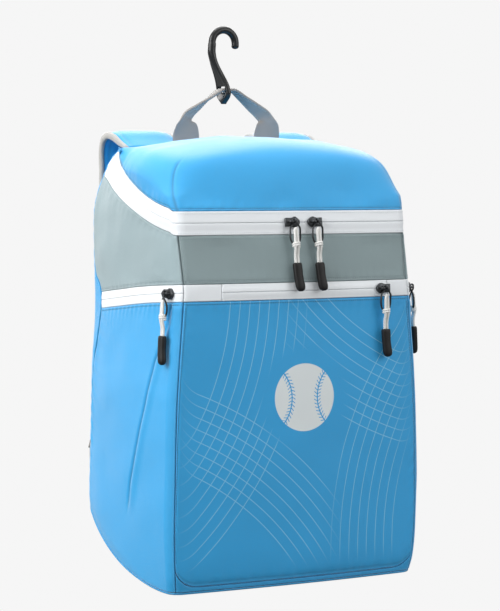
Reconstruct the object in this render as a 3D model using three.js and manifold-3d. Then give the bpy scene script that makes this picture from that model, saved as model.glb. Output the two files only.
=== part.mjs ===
// A ball player's backpack that hangs from the plastic fence hook on its haul handle.
// Millimetres, +Z up. The front pocket faces -Y, and the side worn against the back faces +Y.
// The bag is drawn standing on its base: x = 0 is its middle, y = 0 its back panel, z = 0 its base.
// The whole group is then moved, so that the origin is the inner crest of the hook, where it hangs.

import * as THREE from "three";
import { mergeVertices } from "three/addons/utils/BufferGeometryUtils.js";
import Module from "manifold-3d";

const wasm = await Module();
wasm.setup();

// Sizes of the body
const bodyWidth = 336;
const bodyDepth = 244;
const bodyHeight = 524;
const hingeDrop = 11;
const wall = 2.4;
const backPadThickness = 9;
const seamGap = 0.45;
const restGap = 0.25;
const frontCornerRadius = 15;
const backCornerRadius = 24;
const shoulderRadius = 75;
const heelHeight = 102;
const heelLength = 215;
const heelRoundness = 1.7;
const sideBulge = 5;
const frontBulge = 6;

// Sizes of the front pocket
const pocketLip = 8;
const pocketCornerRadius = 26;

// Sizes of the zips
const pocketZipHeight = 346;
const zipSpacing = 79;
const mainZipHeight = pocketZipHeight + zipSpacing;
const mainZipClimb = 71;
const mainTapeWidth = 27;
const sideZipDrop = 17;
const pocketTapeWidth = 19;
const tapeThickness = 1.8;
const leftTabWidth = 46;
const rightTabWidth = 30;

// Sizes of the lid
const lidDrop = 17;
const lidCrown = 18;
const lidBulge = 3;
const lidShoulderRadius = 24;
const lidLean = 17;

// Sizes of the zip pulls
const sliderLength = 19;
const sliderWidth = 13;
const sliderThickness = 4;
const bridgeHeight = 5.2;
const bridgeBar = 1.8;
const ringLength = 31;
const ringWidth = 15;
const ringWire = 2.2;
const cordDiameter = 3;
const cordLength = 20;
const tipLength = 33;
const tipWidth = 11.5;
const pullClearance = 0.6;
const pullsMiddle = 7;
const pullsGap = 11;
const ringTop = 3;

// Sizes of the haul handle and the fence hook
const handleWebbing = 36;
const handleGrip = 19;
const handleThickness = 2.2;
const gripThickness = 3.8;
const handleSpread = bodyWidth / 3;
const handleRise = 73;
const handleSetback = 17;
const hookWire = 9.3;
const hookThroat = 22.8;
const hookShift = -4;
const hookShank = 60.9;
const hookPlateWidth = 30;
const hookPlateThickness = 8.4;
const hookToe = 13;
const hookClearance = 0.9;

// Sizes of the shoulder straps
const strapWidth = 84;
const strapThickness = 12;
const strapSpacing = (bodyWidth * 7) / 12;
const bindingThickness = 3;
const webbingWidth = 25;
const webbingThickness = 2;
const buckleWidth = 36;
const buckleLength = 26;
const buckleThickness = 5;
const anchorHeight = 74;
const anchorReach = 30;

// Where the outline stands: half its width and its depth, as shares of the body's, up its height,
// and how much further than that half width its back corners reach
const outlineRows = [
  { at: 0, half: 0.97, depth: 0.96, spread: 0 },
  { at: 0.04, half: 0.99, depth: 0.98, spread: 0 },
  { at: 0.12, half: 1.004, depth: 0.991, spread: 0 },
  { at: 0.24, half: 1.002, depth: 0.998, spread: 0 },
  { at: 0.42, half: 0.988, depth: 1, spread: 0 },
  { at: 0.64, half: 0.937, depth: 0.995, spread: 0.02 },
  { at: 0.68, half: 0.93, depth: 0.99, spread: 0.03 },
  { at: 0.79, half: 0.923, depth: 0.952, spread: 0.042 },
  { at: 0.84, half: 0.925, depth: 0.94, spread: 0.035 },
  { at: 0.92, half: 0.915, depth: 0.91, spread: 0.005 },
  { at: 1, half: 0.905, depth: 0.88, spread: 0 },
];

// The station of the seam between a side and the back panel, up the body's height
const seamRows = [
  { at: 0, seam: 1.1 },
  { at: 0.15, seam: 1.26 },
  { at: 0.22, seam: 1.53 },
  { at: 0.32, seam: 1.76 },
  { at: 0.44, seam: 1.93 },
  { at: 0.54, seam: 2.05 },
  { at: 0.66, seam: 2.07 },
  { at: 0.74, seam: 1.8 },
  { at: 0.84, seam: 1.82 },
  { at: 1, seam: 2 },
];

// How the main zip climbs along each side, and the side pocket's zip falls, from front to back
const climbRows = [
  { at: 0, climb: 0, drop: 0 },
  { at: 0.15, climb: 0.05, drop: 0.05 },
  { at: 0.3, climb: 0.19, drop: 0.16 },
  { at: 0.5, climb: 0.45, drop: 0.36 },
  { at: 0.7, climb: 0.71, drop: 0.62 },
  { at: 0.85, climb: 0.89, drop: 0.81 },
  { at: 1, climb: 1, drop: 1 },
];

// The haul handle's right half: where it runs, as shares of its spread and rise, how far it has
// turned from facing front (0) to facing up (1), and its width from webbing (0) to folded grip (1)
const handleRows = [
  { across: 1, up: 0, turn: 0, fold: 0 },
  { across: 1, up: 0.24, turn: 0, fold: 0.02 },
  { across: 1, up: 0.41, turn: 0.2, fold: 0.35 },
  { across: 0.97, up: 0.53, turn: 0.55, fold: 0.95 },
  { across: 0.86, up: 0.62, turn: 0.68, fold: 1 },
  { across: 0.66, up: 0.73, turn: 0.74, fold: 1 },
  { across: 0.4, up: 0.875, turn: 0.86, fold: 1 },
  { across: 0.17, up: 0.996, turn: 1, fold: 1 },
  { across: 0, up: 1, turn: 1, fold: 1 },
];

// The hook's shank: its height up the plate, its shift to the side and its two half sizes,
// as shares of the shank's length, the crook's radius, the plate's thickness and its width
const shankRows = [
  { up: 1, shift: 1, thick: 1.22, wide: 0.347 },
  { up: 0.8, shift: 1.02, thick: 1.18, wide: 0.36 },
  { up: 0.58, shift: 0.8, thick: 1.06, wide: 0.44 },
  { up: 0.36, shift: 0.42, thick: 1.02, wide: 0.6 },
  { up: 0.17, shift: 0.12, thick: 1, wide: 0.86 },
  { up: 0.02, shift: 0, thick: 1, wide: 1 },
  { up: -0.07, shift: 0, thick: 1, wide: 0.94 },
  { up: -0.17, shift: 0, thick: 0.96, wide: 0.5 },
  { up: -0.23, shift: 0, thick: 0.8, wide: 0.14 },
];

// A shoulder strap's run: depth behind the back panel as a share of the body's depth, height as a
// share of the body's, how far it swings outwards, and its width and thickness as shares of its own
const strapRows = [
  { depth: -0.2213, up: 0.9801, out: -0.02, wide: 0.97, thick: 0.45 },
  { depth: -0.165, up: 0.9905, out: -0.01, wide: 0.99, thick: 0.75 },
  { depth: -0.1, up: 1.004, out: 0, wide: 1, thick: 1 },
  { depth: -0.03, up: 1.009, out: 0, wide: 1, thick: 1 },
  { depth: 0.028, up: 0.998, out: 0, wide: 1, thick: 1 },
  { depth: 0.058, up: 0.97, out: 0, wide: 0.98, thick: 1 },
  { depth: 0.066, up: 0.925, out: 0, wide: 0.95, thick: 1 },
  { depth: 0.086, up: 0.86, out: 0, wide: 0.91, thick: 1 },
  { depth: 0.118, up: 0.765, out: 0.01, wide: 0.86, thick: 1 },
  { depth: 0.142, up: 0.668, out: 0.02, wide: 0.8, thick: 1 },
  { depth: 0.142, up: 0.575, out: 0.05, wide: 0.73, thick: 1 },
  { depth: 0.125, up: 0.505, out: 0.09, wide: 0.64, thick: 0.85 },
];

// The webbing below each strap, in the strap table's terms
const webbingRows = [
  { depth: 0.114, up: 0.4, out: 0.19 },
  { depth: 0.1, up: 0.335, out: 0.32 },
  { depth: 0.086, up: 0.285, out: 0.41 },
];

// Materials
const cloth = (color) => new THREE.MeshStandardMaterial({ color, roughness: 0.85, metalness: 0 });
const blueCloth = cloth(0x4aa8de);
const greyCloth = cloth(0x97a5a8);
const whiteTape = cloth(0xeef1f4);
const greyWebbing = cloth(0xa5a09e);
const whiteCord = cloth(0xf2f2f0);
const blackRubber = new THREE.MeshStandardMaterial({ color: 0x1b1b1c, roughness: 0.6, metalness: 0 });
const blackPlastic = new THREE.MeshStandardMaterial({ color: 0x1d1f20, roughness: 0.35, metalness: 0 });
const darkMetal = new THREE.MeshStandardMaterial({ color: 0x2a2b2c, roughness: 0.4, metalness: 0.7 });

// Small helpers
const mix = (a, b, t) => a + (b - a) * t;
const clamp = (v, low, high) => Math.min(high, Math.max(low, v));
const point = (x, y, z) => new THREE.Vector3(x, y, z);
const span = (from, to, steps) =>
  Array.from({ length: steps + 1 }, (_, i) => mix(from, to, i / steps));

// A smooth value out of a table's column, at a share between 0 and 1
function columnAt(rows, column, share) {
  const last = rows.length - 1;
  let i = 0;
  while (i < last - 1 && rows[i + 1].at < share) i += 1;
  const [a, b] = [rows[i], rows[i + 1]];
  const slope = (j, k) => (rows[k][column] - rows[j][column]) / (rows[k].at - rows[j].at);
  const step = b.at - a.at;
  const t = clamp((share - a.at) / step, 0, 1);
  const start = slope(Math.max(i - 1, 0), i + 1) * step;
  const end = slope(i, Math.min(i + 2, last)) * step;
  const [t2, t3] = [t * t, t * t * t];
  return (
    (2 * t3 - 3 * t2 + 1) * a[column] +
    (t3 - 2 * t2 + t) * start +
    (3 * t2 - 2 * t3) * b[column] +
    (t3 - t2) * end
  );
}

// The bag's outline at a height. A station runs round half of it, from the middle of the back (0)
// by the back corner (1 to 2) and the side (2 to 3) to the front corner (3 to 4) and the middle of
// the front (5). A negative station is on the left side.
const BACK_CORNER = 1;
const SIDE_BACK = 2;
const SIDE_FRONT = 3;
const CORNER_LOW = 3.65;
const CORNER_HIGH = 3.42;
const FRONT_CORNER = 4;
const FRONT_MIDDLE = 5;
const RIGHT_ANGLE = Math.PI / 2;

const hingeHeight = bodyHeight - hingeDrop;
const shoulderStart = hingeHeight - shoulderRadius;

const halfWidth = (z) => (bodyWidth / 2) * columnAt(outlineRows, "half", z / bodyHeight);
const backSpread = (z) => (bodyWidth / 2) * columnAt(outlineRows, "spread", z / bodyHeight);
const depthAt = (z) => bodyDepth * columnAt(outlineRows, "depth", z / bodyHeight);

// The back panel stands upright and rolls forward over the shoulder at its top
function backLine(z) {
  const above = clamp((z - shoulderStart) / shoulderRadius, 0, 1);
  return shoulderRadius * (Math.sqrt(1 - above * above) - 1);
}

function outline(station, z) {
  const side = Math.sign(station) || 1;
  const s = Math.abs(station);
  const half = halfWidth(z);
  const backHalf = half + backSpread(z);
  const front = -depthAt(z);
  const back = backLine(z);
  let x;
  let y;
  if (s <= BACK_CORNER) {
    x = (backHalf - backCornerRadius) * s;
    y = back;
  } else if (s <= SIDE_BACK) {
    const turn = (s - BACK_CORNER) * RIGHT_ANGLE;
    x = backHalf - backCornerRadius * (1 - Math.sin(turn));
    y = back - backCornerRadius * (1 - Math.cos(turn));
  } else if (s <= SIDE_FRONT) {
    const along = s - SIDE_BACK;
    x = mix(backHalf, half, along) + sideBulge * 4 * along * (1 - along);
    y = mix(back - backCornerRadius, front + frontCornerRadius, along);
  } else if (s <= FRONT_CORNER) {
    const turn = (s - SIDE_FRONT) * RIGHT_ANGLE;
    x = half - frontCornerRadius * (1 - Math.cos(turn));
    y = front + frontCornerRadius * (1 - Math.sin(turn));
  } else {
    const across = FRONT_MIDDLE - s;
    x = (half - frontCornerRadius) * across;
    y = front - frontBulge * (1 - across * across);
  }
  return point(side * x, y, z);
}

// The seam between a side and the front leaves the middle of its corner above the pocket
const cornerSeam = (z) =>
  mix(CORNER_LOW, CORNER_HIGH, clamp((z - pocketZipHeight) / (mainZipHeight - pocketZipHeight), 0, 1));

// The seam between a side and the back panel slips round the back corner towards the base
const seamStation = (z) => columnAt(seamRows, "seam", z / bodyHeight);

// The outline's outward direction
function outlineNormal(station, z) {
  const s = Math.abs(station);
  const ahead = outline(Math.min(s + 0.01, FRONT_MIDDLE), z);
  const along = ahead.sub(outline(Math.max(s - 0.01, 0), z));
  const up = outline(s, Math.min(z + 1, hingeHeight)).sub(outline(s, z - 1));
  const normal = up.cross(along).normalize();
  return station < 0 ? point(-normal.x, normal.y, normal.z) : normal;
}

// A side's own share, from its seam with the back panel (0) to the seam on the front corner (1)
const CORNER_SHARE = 0.8;
function sideStation(share, z) {
  if (share < CORNER_SHARE) return mix(seamStation(z), SIDE_FRONT, share / CORNER_SHARE);
  return mix(SIDE_FRONT, cornerSeam(z), (share - CORNER_SHARE) / (1 - CORNER_SHARE));
}
const sideShares = [0, 0.12, 0.27, 0.45, 0.62, CORNER_SHARE, 0.9, 1];

// The front's own stations, from the seam on the left corner to the one on the right
const halfFrontStations = [CORNER_LOW, 3.82, FRONT_CORNER, 4.06, 4.13, 4.4, 4.7];
const frontStations = [
  ...halfFrontStations.map((s) => -s),
  FRONT_MIDDLE,
  ...halfFrontStations.slice().reverse(),
];
const frontStationAt = (x, z) => {
  const s = FRONT_MIDDLE - Math.abs(x) / (halfWidth(z) - frontCornerRadius);
  return x < 0 ? -s : s;
};

// Borders between the sewn pieces, as heights

// The base is flat at the front and lifts in one sweep towards the back
function baseHeight(y) {
  const along = clamp((y + heelLength) / heelLength, 0, 1);
  return heelHeight * (1 - (1 - along ** heelRoundness) ** (1 / heelRoundness));
}

// The height where a wall meets the base, found by stepping to where both agree
function footHeight(stationAt) {
  let z = 0;
  for (let i = 0; i < 12; i += 1) z = mix(z, baseHeight(outline(stationAt(z), z).y), 0.7);
  const y = outline(stationAt(z), z).y;
  const slope = baseHeight(y + 1) - baseHeight(y);
  return Math.min(heelHeight, z + wall * Math.hypot(1, slope)) + seamGap;
}

// How far back a side's share lies, past the bend at the front corner
const backwards = (share) => clamp(1 - share / 0.94, 0, 1);
const mainZipAt = (share) =>
  mainZipHeight + mainZipClimb * columnAt(climbRows, "climb", backwards(share));
const sideZipAt = (share) =>
  pocketZipHeight - sideZipDrop * columnAt(climbRows, "drop", backwards(share));
const halfMain = mainTapeWidth / 2;
const halfPocket = pocketTapeWidth / 2;

// The front pocket's lower edge, with its two rounded corners
function pocketEdge(station) {
  const seamX = Math.abs(outline(CORNER_LOW, 0).x);
  const inwards = clamp(seamX - Math.abs(outline(station, 0).x), 0, pocketCornerRadius);
  const rest = pocketCornerRadius - inwards;
  return pocketLip + pocketCornerRadius - Math.sqrt(pocketCornerRadius ** 2 - rest * rest);
}

// The strip below it keeps off more where the edge stands steep
const stripGap = (station) =>
  seamGap * (1 + (2.5 * (pocketEdge(station) - pocketLip)) / pocketCornerRadius);

// A closed geometry from vertices and triangles, its faces turned outwards
function closed(points, triangles) {
  const far = new THREE.Vector3();
  let volume = 0;
  for (const [a, b, c] of triangles)
    volume += points[a].dot(far.crossVectors(points[b], points[c]));
  const faces = volume < 0 ? triangles.map(([a, b, c]) => [a, c, b]) : triangles;
  const made = new THREE.BufferGeometry();
  made.setAttribute(
    "position",
    new THREE.Float32BufferAttribute(points.flatMap((p) => [p.x, p.y, p.z]), 3),
  );
  made.setIndex(faces.flat());
  return withoutSlivers(mergeVertices(made, 1e-3));
}

// Leaves out the triangles that lost their area when their corners were merged
function withoutSlivers(geometry) {
  const corners = geometry.index.array;
  const kept = [];
  for (let i = 0; i < corners.length; i += 3) {
    const [a, b, c] = [corners[i], corners[i + 1], corners[i + 2]];
    if (a !== b && b !== c && c !== a) kept.push(a, b, c);
  }
  geometry.setIndex(kept);
  return geometry;
}

// A sheet of cloth: its outer face is a grid of points, and its inner face lies a thickness inside.
// Its directions come from the grid unless a function gives them. Where the last row of its left
// half falls on that of its right half, as on the lid's ridge, the sheet has no edge there.
const insideBag = point(0, -bodyDepth / 2, bodyHeight / 2);
function gridNormal(outer, i, j) {
  const [lastI, lastJ] = [outer.length - 1, outer[0].length - 1];
  const along = outer[Math.min(i + 1, lastI)][j].clone().sub(outer[Math.max(i - 1, 0)][j]);
  const up = outer[i][Math.min(j + 1, lastJ)].clone().sub(outer[i][Math.max(j - 1, 0)]);
  const normal = along.cross(up).normalize();
  return normal.dot(outer[i][j].clone().sub(insideBag)) < 0 ? normal.negate() : normal;
}
function sheet(columns, rows, at, thickness, { normalAt = () => null, ridge = false } = {}) {
  const outer = columns.map((u) => rows.map((v) => at(u, v)));
  const [nu, nv] = [columns.length, rows.length];
  const normalOf = (i, j) => {
    if (ridge && j === nv - 1) return point(0, 0, 1);
    return normalAt(columns[i], rows[j], outer[i][j]) || gridNormal(outer, i, j);
  };
  const inner = outer.map((column, i) =>
    column.map((p, j) => p.clone().addScaledVector(normalOf(i, j), -thickness)),
  );
  const points = [...outer.flat(), ...inner.flat()];
  const total = nu * nv;
  const id = (i, j, face) => i * nv + j + face * total;
  const triangles = [];
  const quad = (a, b, c, d) => triangles.push([a, b, c], [a, c, d]);
  for (let i = 0; i < nu - 1; i += 1) {
    for (let j = 0; j < nv - 1; j += 1) {
      quad(id(i, j, 0), id(i + 1, j, 0), id(i + 1, j + 1, 0), id(i, j + 1, 0));
      quad(id(i, j, 1), id(i, j + 1, 1), id(i + 1, j + 1, 1), id(i + 1, j, 1));
    }
    quad(id(i, 0, 0), id(i, 0, 1), id(i + 1, 0, 1), id(i + 1, 0, 0));
    if (!ridge)
      quad(id(i, nv - 1, 0), id(i + 1, nv - 1, 0), id(i + 1, nv - 1, 1), id(i, nv - 1, 1));
  }
  for (let j = 0; j < nv - 1; j += 1) {
    quad(id(0, j, 0), id(0, j + 1, 0), id(0, j + 1, 1), id(0, j, 1));
    quad(id(nu - 1, j, 0), id(nu - 1, j, 1), id(nu - 1, j + 1, 1), id(nu - 1, j + 1, 0));
  }
  return closed(points, triangles);
}

// A panel of the body's wall between two borders
function panel(columns, steps, stationAt, low, high, thickness = wall) {
  const heightOf = (u, v) => mix(low(u), high(u), v);
  return sheet(
    columns,
    span(0, 1, steps),
    (u, v) => outline(stationAt(u, heightOf(u, v)), heightOf(u, v)),
    thickness,
    { normalAt: (u, v) => outlineNormal(stationAt(u, heightOf(u, v)), heightOf(u, v)) },
  );
}

// A bar swept through sections: each has a centre, two directions and two half sizes
const barProfile = [
  [1, 0.45],
  [0.9, 1],
  [-0.9, 1],
  [-1, 0.45],
  [-1, -0.45],
  [-0.9, -1],
  [0.9, -1],
  [1, -0.45],
];
const roundProfile = (sides) =>
  Array.from({ length: sides }, (_, i) => {
    const turn = (2 * Math.PI * (i + 0.5)) / sides;
    return [Math.cos(turn), Math.sin(turn)];
  });
function sweep(sections, profile, loop = false) {
  const points = sections.flatMap((s) =>
    profile.map(([a, b]) =>
      s.centre
        .clone()
        .addScaledVector(s.wide, a * s.halfWidth)
        .addScaledVector(s.thick, b * s.halfThickness),
    ),
  );
  const n = profile.length;
  const triangles = [];
  const count = sections.length;
  for (let k = 0; k < (loop ? count : count - 1); k += 1) {
    const [from, to] = [k * n, ((k + 1) % count) * n];
    for (let i = 0; i < n; i += 1) {
      const next = (i + 1) % n;
      triangles.push([from + i, from + next, to + next], [from + i, to + next, to + i]);
    }
  }
  if (loop) return closed(points, triangles);
  const lastRing = (count - 1) * n;
  for (let i = 1; i < n - 1; i += 1) {
    triangles.push([0, i + 1, i], [lastRing, lastRing + i, lastRing + i + 1]);
  }
  return closed(points, triangles);
}

// Sections along a line of points, with the wide direction given at each
function sectionsAlong(points, wideAt, halfWidthAt, halfThicknessAt) {
  return points.map((centre, i) => {
    const ahead = points[Math.min(i + 1, points.length - 1)];
    const behind = points[Math.max(i - 1, 0)];
    const tangent = ahead.clone().sub(behind).normalize();
    const wide = wideAt(i, tangent).clone();
    wide.addScaledVector(tangent, -wide.dot(tangent)).normalize();
    const thick = tangent.clone().cross(wide).normalize();
    return { centre, wide, thick, halfWidth: halfWidthAt(i), halfThickness: halfThicknessAt(i) };
  });
}

// A round wire along a line of points, which closes on itself when it is a loop
function wire(points, radius, sides, loop = false) {
  const n = points.length;
  const at = (i) => (loop ? points[(i + n) % n] : points[clamp(i, 0, n - 1)]);
  const tangents = points.map((_, i) => at(i + 1).clone().sub(at(i - 1)).normalize());
  const steady = (wide, tangent) =>
    wide.clone().addScaledVector(tangent, -wide.dot(tangent)).normalize();
  const wides = [];
  tangents.forEach((tangent, i) => wides.push(steady(i ? wides[i - 1] : point(1, 0.2, 0.1), tangent)));
  const back = loop ? steady(wides[n - 1], tangents[0]) : wides[0];
  const turned = Math.atan2(back.clone().cross(wides[0]).dot(tangents[0]), back.dot(wides[0]));
  const sections = points.map((centre, i) => {
    const wide = wides[i].applyAxisAngle(tangents[i], (turned * i) / n);
    const thick = tangents[i].clone().cross(wide);
    return { centre, wide, thick, halfWidth: radius, halfThickness: radius };
  });
  return sweep(sections, roundProfile(sides), loop);
}

// Joining and cutting
function solidFrom(geometry) {
  const bare = geometry.clone();
  bare.deleteAttribute("normal");
  bare.deleteAttribute("uv");
  const merged = mergeVertices(bare, 1e-3);
  return new wasm.Manifold(
    new wasm.Mesh({
      numProp: 3,
      vertProperties: new Float32Array(merged.attributes.position.array),
      triVerts: new Uint32Array(merged.index.array),
    }),
  );
}
function geometryFrom(solid) {
  const mesh = solid.getMesh();
  const made = new THREE.BufferGeometry();
  made.setAttribute("position", new THREE.BufferAttribute(mesh.vertProperties, 3));
  made.setIndex(new THREE.BufferAttribute(mesh.triVerts, 1));
  return made;
}

function flatShape(corners) {
  const shape = new THREE.Shape();
  corners.forEach(([x, y], i) => (i ? shape.lineTo(x, y) : shape.moveTo(x, y)));
  return shape;
}
const extruded = (shape, depth) =>
  new THREE.ExtrudeGeometry(shape, { depth, bevelEnabled: false, steps: 1, curveSegments: 6 });

// The group and its meshes
const bag = new THREE.Group();
function add(name, geometry, material, parent = bag) {
  const mesh = new THREE.Mesh(geometry, material);
  mesh.name = name;
  parent.add(mesh);
  return mesh;
}

// Body panels
const sides = { left: -1, right: 1 };

// The line where the back panel and the lid meet, on top of the bag
const zipEnd = () => mainZipAt(0) + halfMain + seamGap;
function hingeLine(turned) {
  const side = outline(SIDE_BACK, zipEnd()).y;
  return mix(-shoulderRadius, side, turned ** 2);
}
function hingeTop(turned) {
  const back = hingeLine(turned) + backCornerRadius * (1 - Math.cos(turned * RIGHT_ANGLE));
  const forward = Math.min(1 + back / shoulderRadius, 1);
  return shoulderStart + shoulderRadius * Math.sqrt(1 - forward * forward);
}

const sidePanelSteps = 7;
const yokeSteps = 6;
function addBackPanel() {
  const halfStations = [0.45, BACK_CORNER, 1.25, 1.5, 1.75, SIDE_BACK];
  const edge = (1.5 * seamGap) / (backCornerRadius * RIGHT_ANGLE);
  const columns = [...halfStations.map((s) => -s).reverse(), 0, ...halfStations];
  const turnedOf = (column) => Math.max(Math.abs(column) - BACK_CORNER, 0);
  const stationAt = (column, z) => {
    const reach = seamStation(z) - edge - BACK_CORNER;
    return turnedOf(column) ? Math.sign(column) * (BACK_CORNER + reach * turnedOf(column)) : column;
  };
  // Its rows lie level with those of the side panels, the yokes and the zip tapes beside them
  const rows = [
    ...span(0, 1, sidePanelSteps).map((v) => ({ from: 0, v })),
    ...span(0, 1, yokeSteps).map((v) => ({ from: 1, v })),
    { from: 2, v: 1 },
    { from: 3, v: 0.6 },
    { from: 3, v: 0.9 },
    { from: 3, v: 1 },
  ];
  const heightOf = (column, row) => {
    const bands = [
      [footHeight((z) => stationAt(column, z)), sideZipAt(0) - halfPocket - seamGap],
      [sideZipAt(0) + halfPocket + seamGap, mainZipAt(0) - halfMain - seamGap],
      [mainZipAt(0) - halfMain, mainZipAt(0)],
      [mainZipAt(0), hingeTop(turnedOf(column))],
    ];
    return mix(...bands[row.from], row.v);
  };
  const at = (column, row) => outline(stationAt(column, heightOf(column, row)), heightOf(column, row));
  const normalAt = (column, row) =>
    outlineNormal(stationAt(column, heightOf(column, row)), heightOf(column, row));
  add("back_panel", sheet(columns, rows, at, backPadThickness, { normalAt }), blueCloth);
}

function addSidePanels(name, side) {
  const at = (share, z) => side * sideStation(share, z);
  add(
    `side_panel_${name}`,
    panel(
      sideShares,
      sidePanelSteps,
      at,
      (share) => footHeight((z) => at(share, z)),
      (share) => sideZipAt(share) - halfPocket - seamGap,
    ),
    blueCloth,
  );
  add(
    `side_yoke_${name}`,
    panel(
      sideShares,
      yokeSteps,
      at,
      (share) => sideZipAt(share) + halfPocket + seamGap,
      (share) => mainZipAt(share) - halfMain - seamGap,
    ),
    greyCloth,
  );
  const tape = (part, low, high) =>
    add(
      `side_zip_${part}_${name}`,
      panel(
        sideShares,
        1,
        at,
        (share) => sideZipAt(share) + low,
        (share) => sideZipAt(share) + high,
        tapeThickness,
      ),
      whiteTape,
    );
  tape("lower_tape", -halfPocket, -seamGap / 2);
  tape("upper_tape", seamGap / 2, halfPocket);
}

const cornerInset = seamGap / frontCornerRadius;
const frontStation = (station, z) =>
  Math.abs(station) <= CORNER_LOW ? Math.sign(station) * (cornerSeam(z) + cornerInset) : station;

function addFrontPanels() {
  add(
    "front_base_strip",
    panel(
      frontStations,
      1,
      frontStation,
      () => wall + seamGap,
      (station) => Math.max(pocketEdge(station) - stripGap(station), wall + 3 * seamGap),
    ),
    blueCloth,
  );
  add(
    "front_pocket_panel",
    panel(frontStations, 7, frontStation, pocketEdge, () => pocketZipHeight - halfPocket - seamGap),
    blueCloth,
  );
  add(
    "front_band",
    panel(
      frontStations,
      3,
      frontStation,
      () => pocketZipHeight + halfPocket + seamGap,
      () => mainZipHeight - halfMain - seamGap,
    ),
    greyCloth,
  );

  const seamX = outline(CORNER_LOW + cornerInset, pocketZipHeight).x;
  const leftTabEnd = -seamX + leftTabWidth;
  const rightTabStart = seamX - rightTabWidth;
  const cornerStations = [CORNER_LOW, 3.82, FRONT_CORNER];
  const strip = (name, columns, low, high) =>
    add(
      name,
      panel(
        columns,
        1,
        frontStation,
        () => pocketZipHeight + low,
        () => pocketZipHeight + high,
        tapeThickness,
      ),
      whiteTape,
    );
  const stationsBetween = (from, to, steps) =>
    span(from, to, steps).map((x) => frontStationAt(x, pocketZipHeight));
  strip(
    "front_zip_tab_left",
    [...cornerStations.map((s) => -s), frontStationAt(leftTabEnd, pocketZipHeight)],
    -halfPocket,
    halfPocket,
  );
  strip(
    "front_zip_tab_right",
    [frontStationAt(rightTabStart, pocketZipHeight), ...cornerStations.slice().reverse()],
    -halfPocket,
    halfPocket,
  );
  const tapeColumns = stationsBetween(leftTabEnd + seamGap, rightTabStart - seamGap, 6);
  strip("front_zip_lower_tape", tapeColumns, -halfPocket, -seamGap / 2);
  strip("front_zip_upper_tape", tapeColumns, seamGap / 2, halfPocket);
}

function addBasePanel() {
  const alongSide = sideShares.slice(0, -2).map((share) => sideStation(share, heelHeight * share));
  const stations = [FRONT_MIDDLE, 3.85, 3.6, 3.3, ...alongSide.reverse(), 1.12, BACK_CORNER];
  const across = span(-1, 1, 6);
  const edgeOf = (station) => {
    let z = 0;
    for (let i = 0; i < 12; i += 1) z = mix(z, baseHeight(outline(station, z).y), 0.7);
    return outline(station, z);
  };
  add(
    "base_panel",
    sheet(
      stations,
      across,
      (station, share) => {
        if (station === FRONT_MIDDLE) {
          const nearest = FRONT_MIDDLE - Math.abs(share);
          return outline(share < 0 ? -nearest : nearest, 0);
        }
        const edge = edgeOf(station);
        return point(edge.x * share, edge.y, edge.z);
      },
      wall,
    ),
    blueCloth,
  );
}

// The main zip runs from the seam on the left of the back, round the front, to the one on the right
const ringShares = [
  ...sideShares.map((share) => ({ side: -1, share })),
  ...halfFrontStations.slice(1).map((station) => ({ side: -1, station })),
  { side: 1, station: FRONT_MIDDLE },
  ...halfFrontStations.slice(1).reverse().map((station) => ({ side: 1, station })),
  ...sideShares.slice().reverse().map((share) => ({ side: 1, share })),
];
const ringHeight = (column) => (column.share === undefined ? mainZipHeight : mainZipAt(column.share));
const ringStation = (column, z) =>
  column.side * (column.share === undefined ? column.station : sideStation(column.share, z));

function addMainZip() {
  const tape = (name, low, high) =>
    add(
      name,
      panel(
        ringShares,
        1,
        ringStation,
        (column) => ringHeight(column) + low,
        (column) => ringHeight(column) + high,
        tapeThickness,
      ),
      whiteTape,
    );
  tape("main_zip_lower_tape", -halfMain, -seamGap / 2);
  tape("main_zip_upper_tape", seamGap / 2, halfMain);
}

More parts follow.
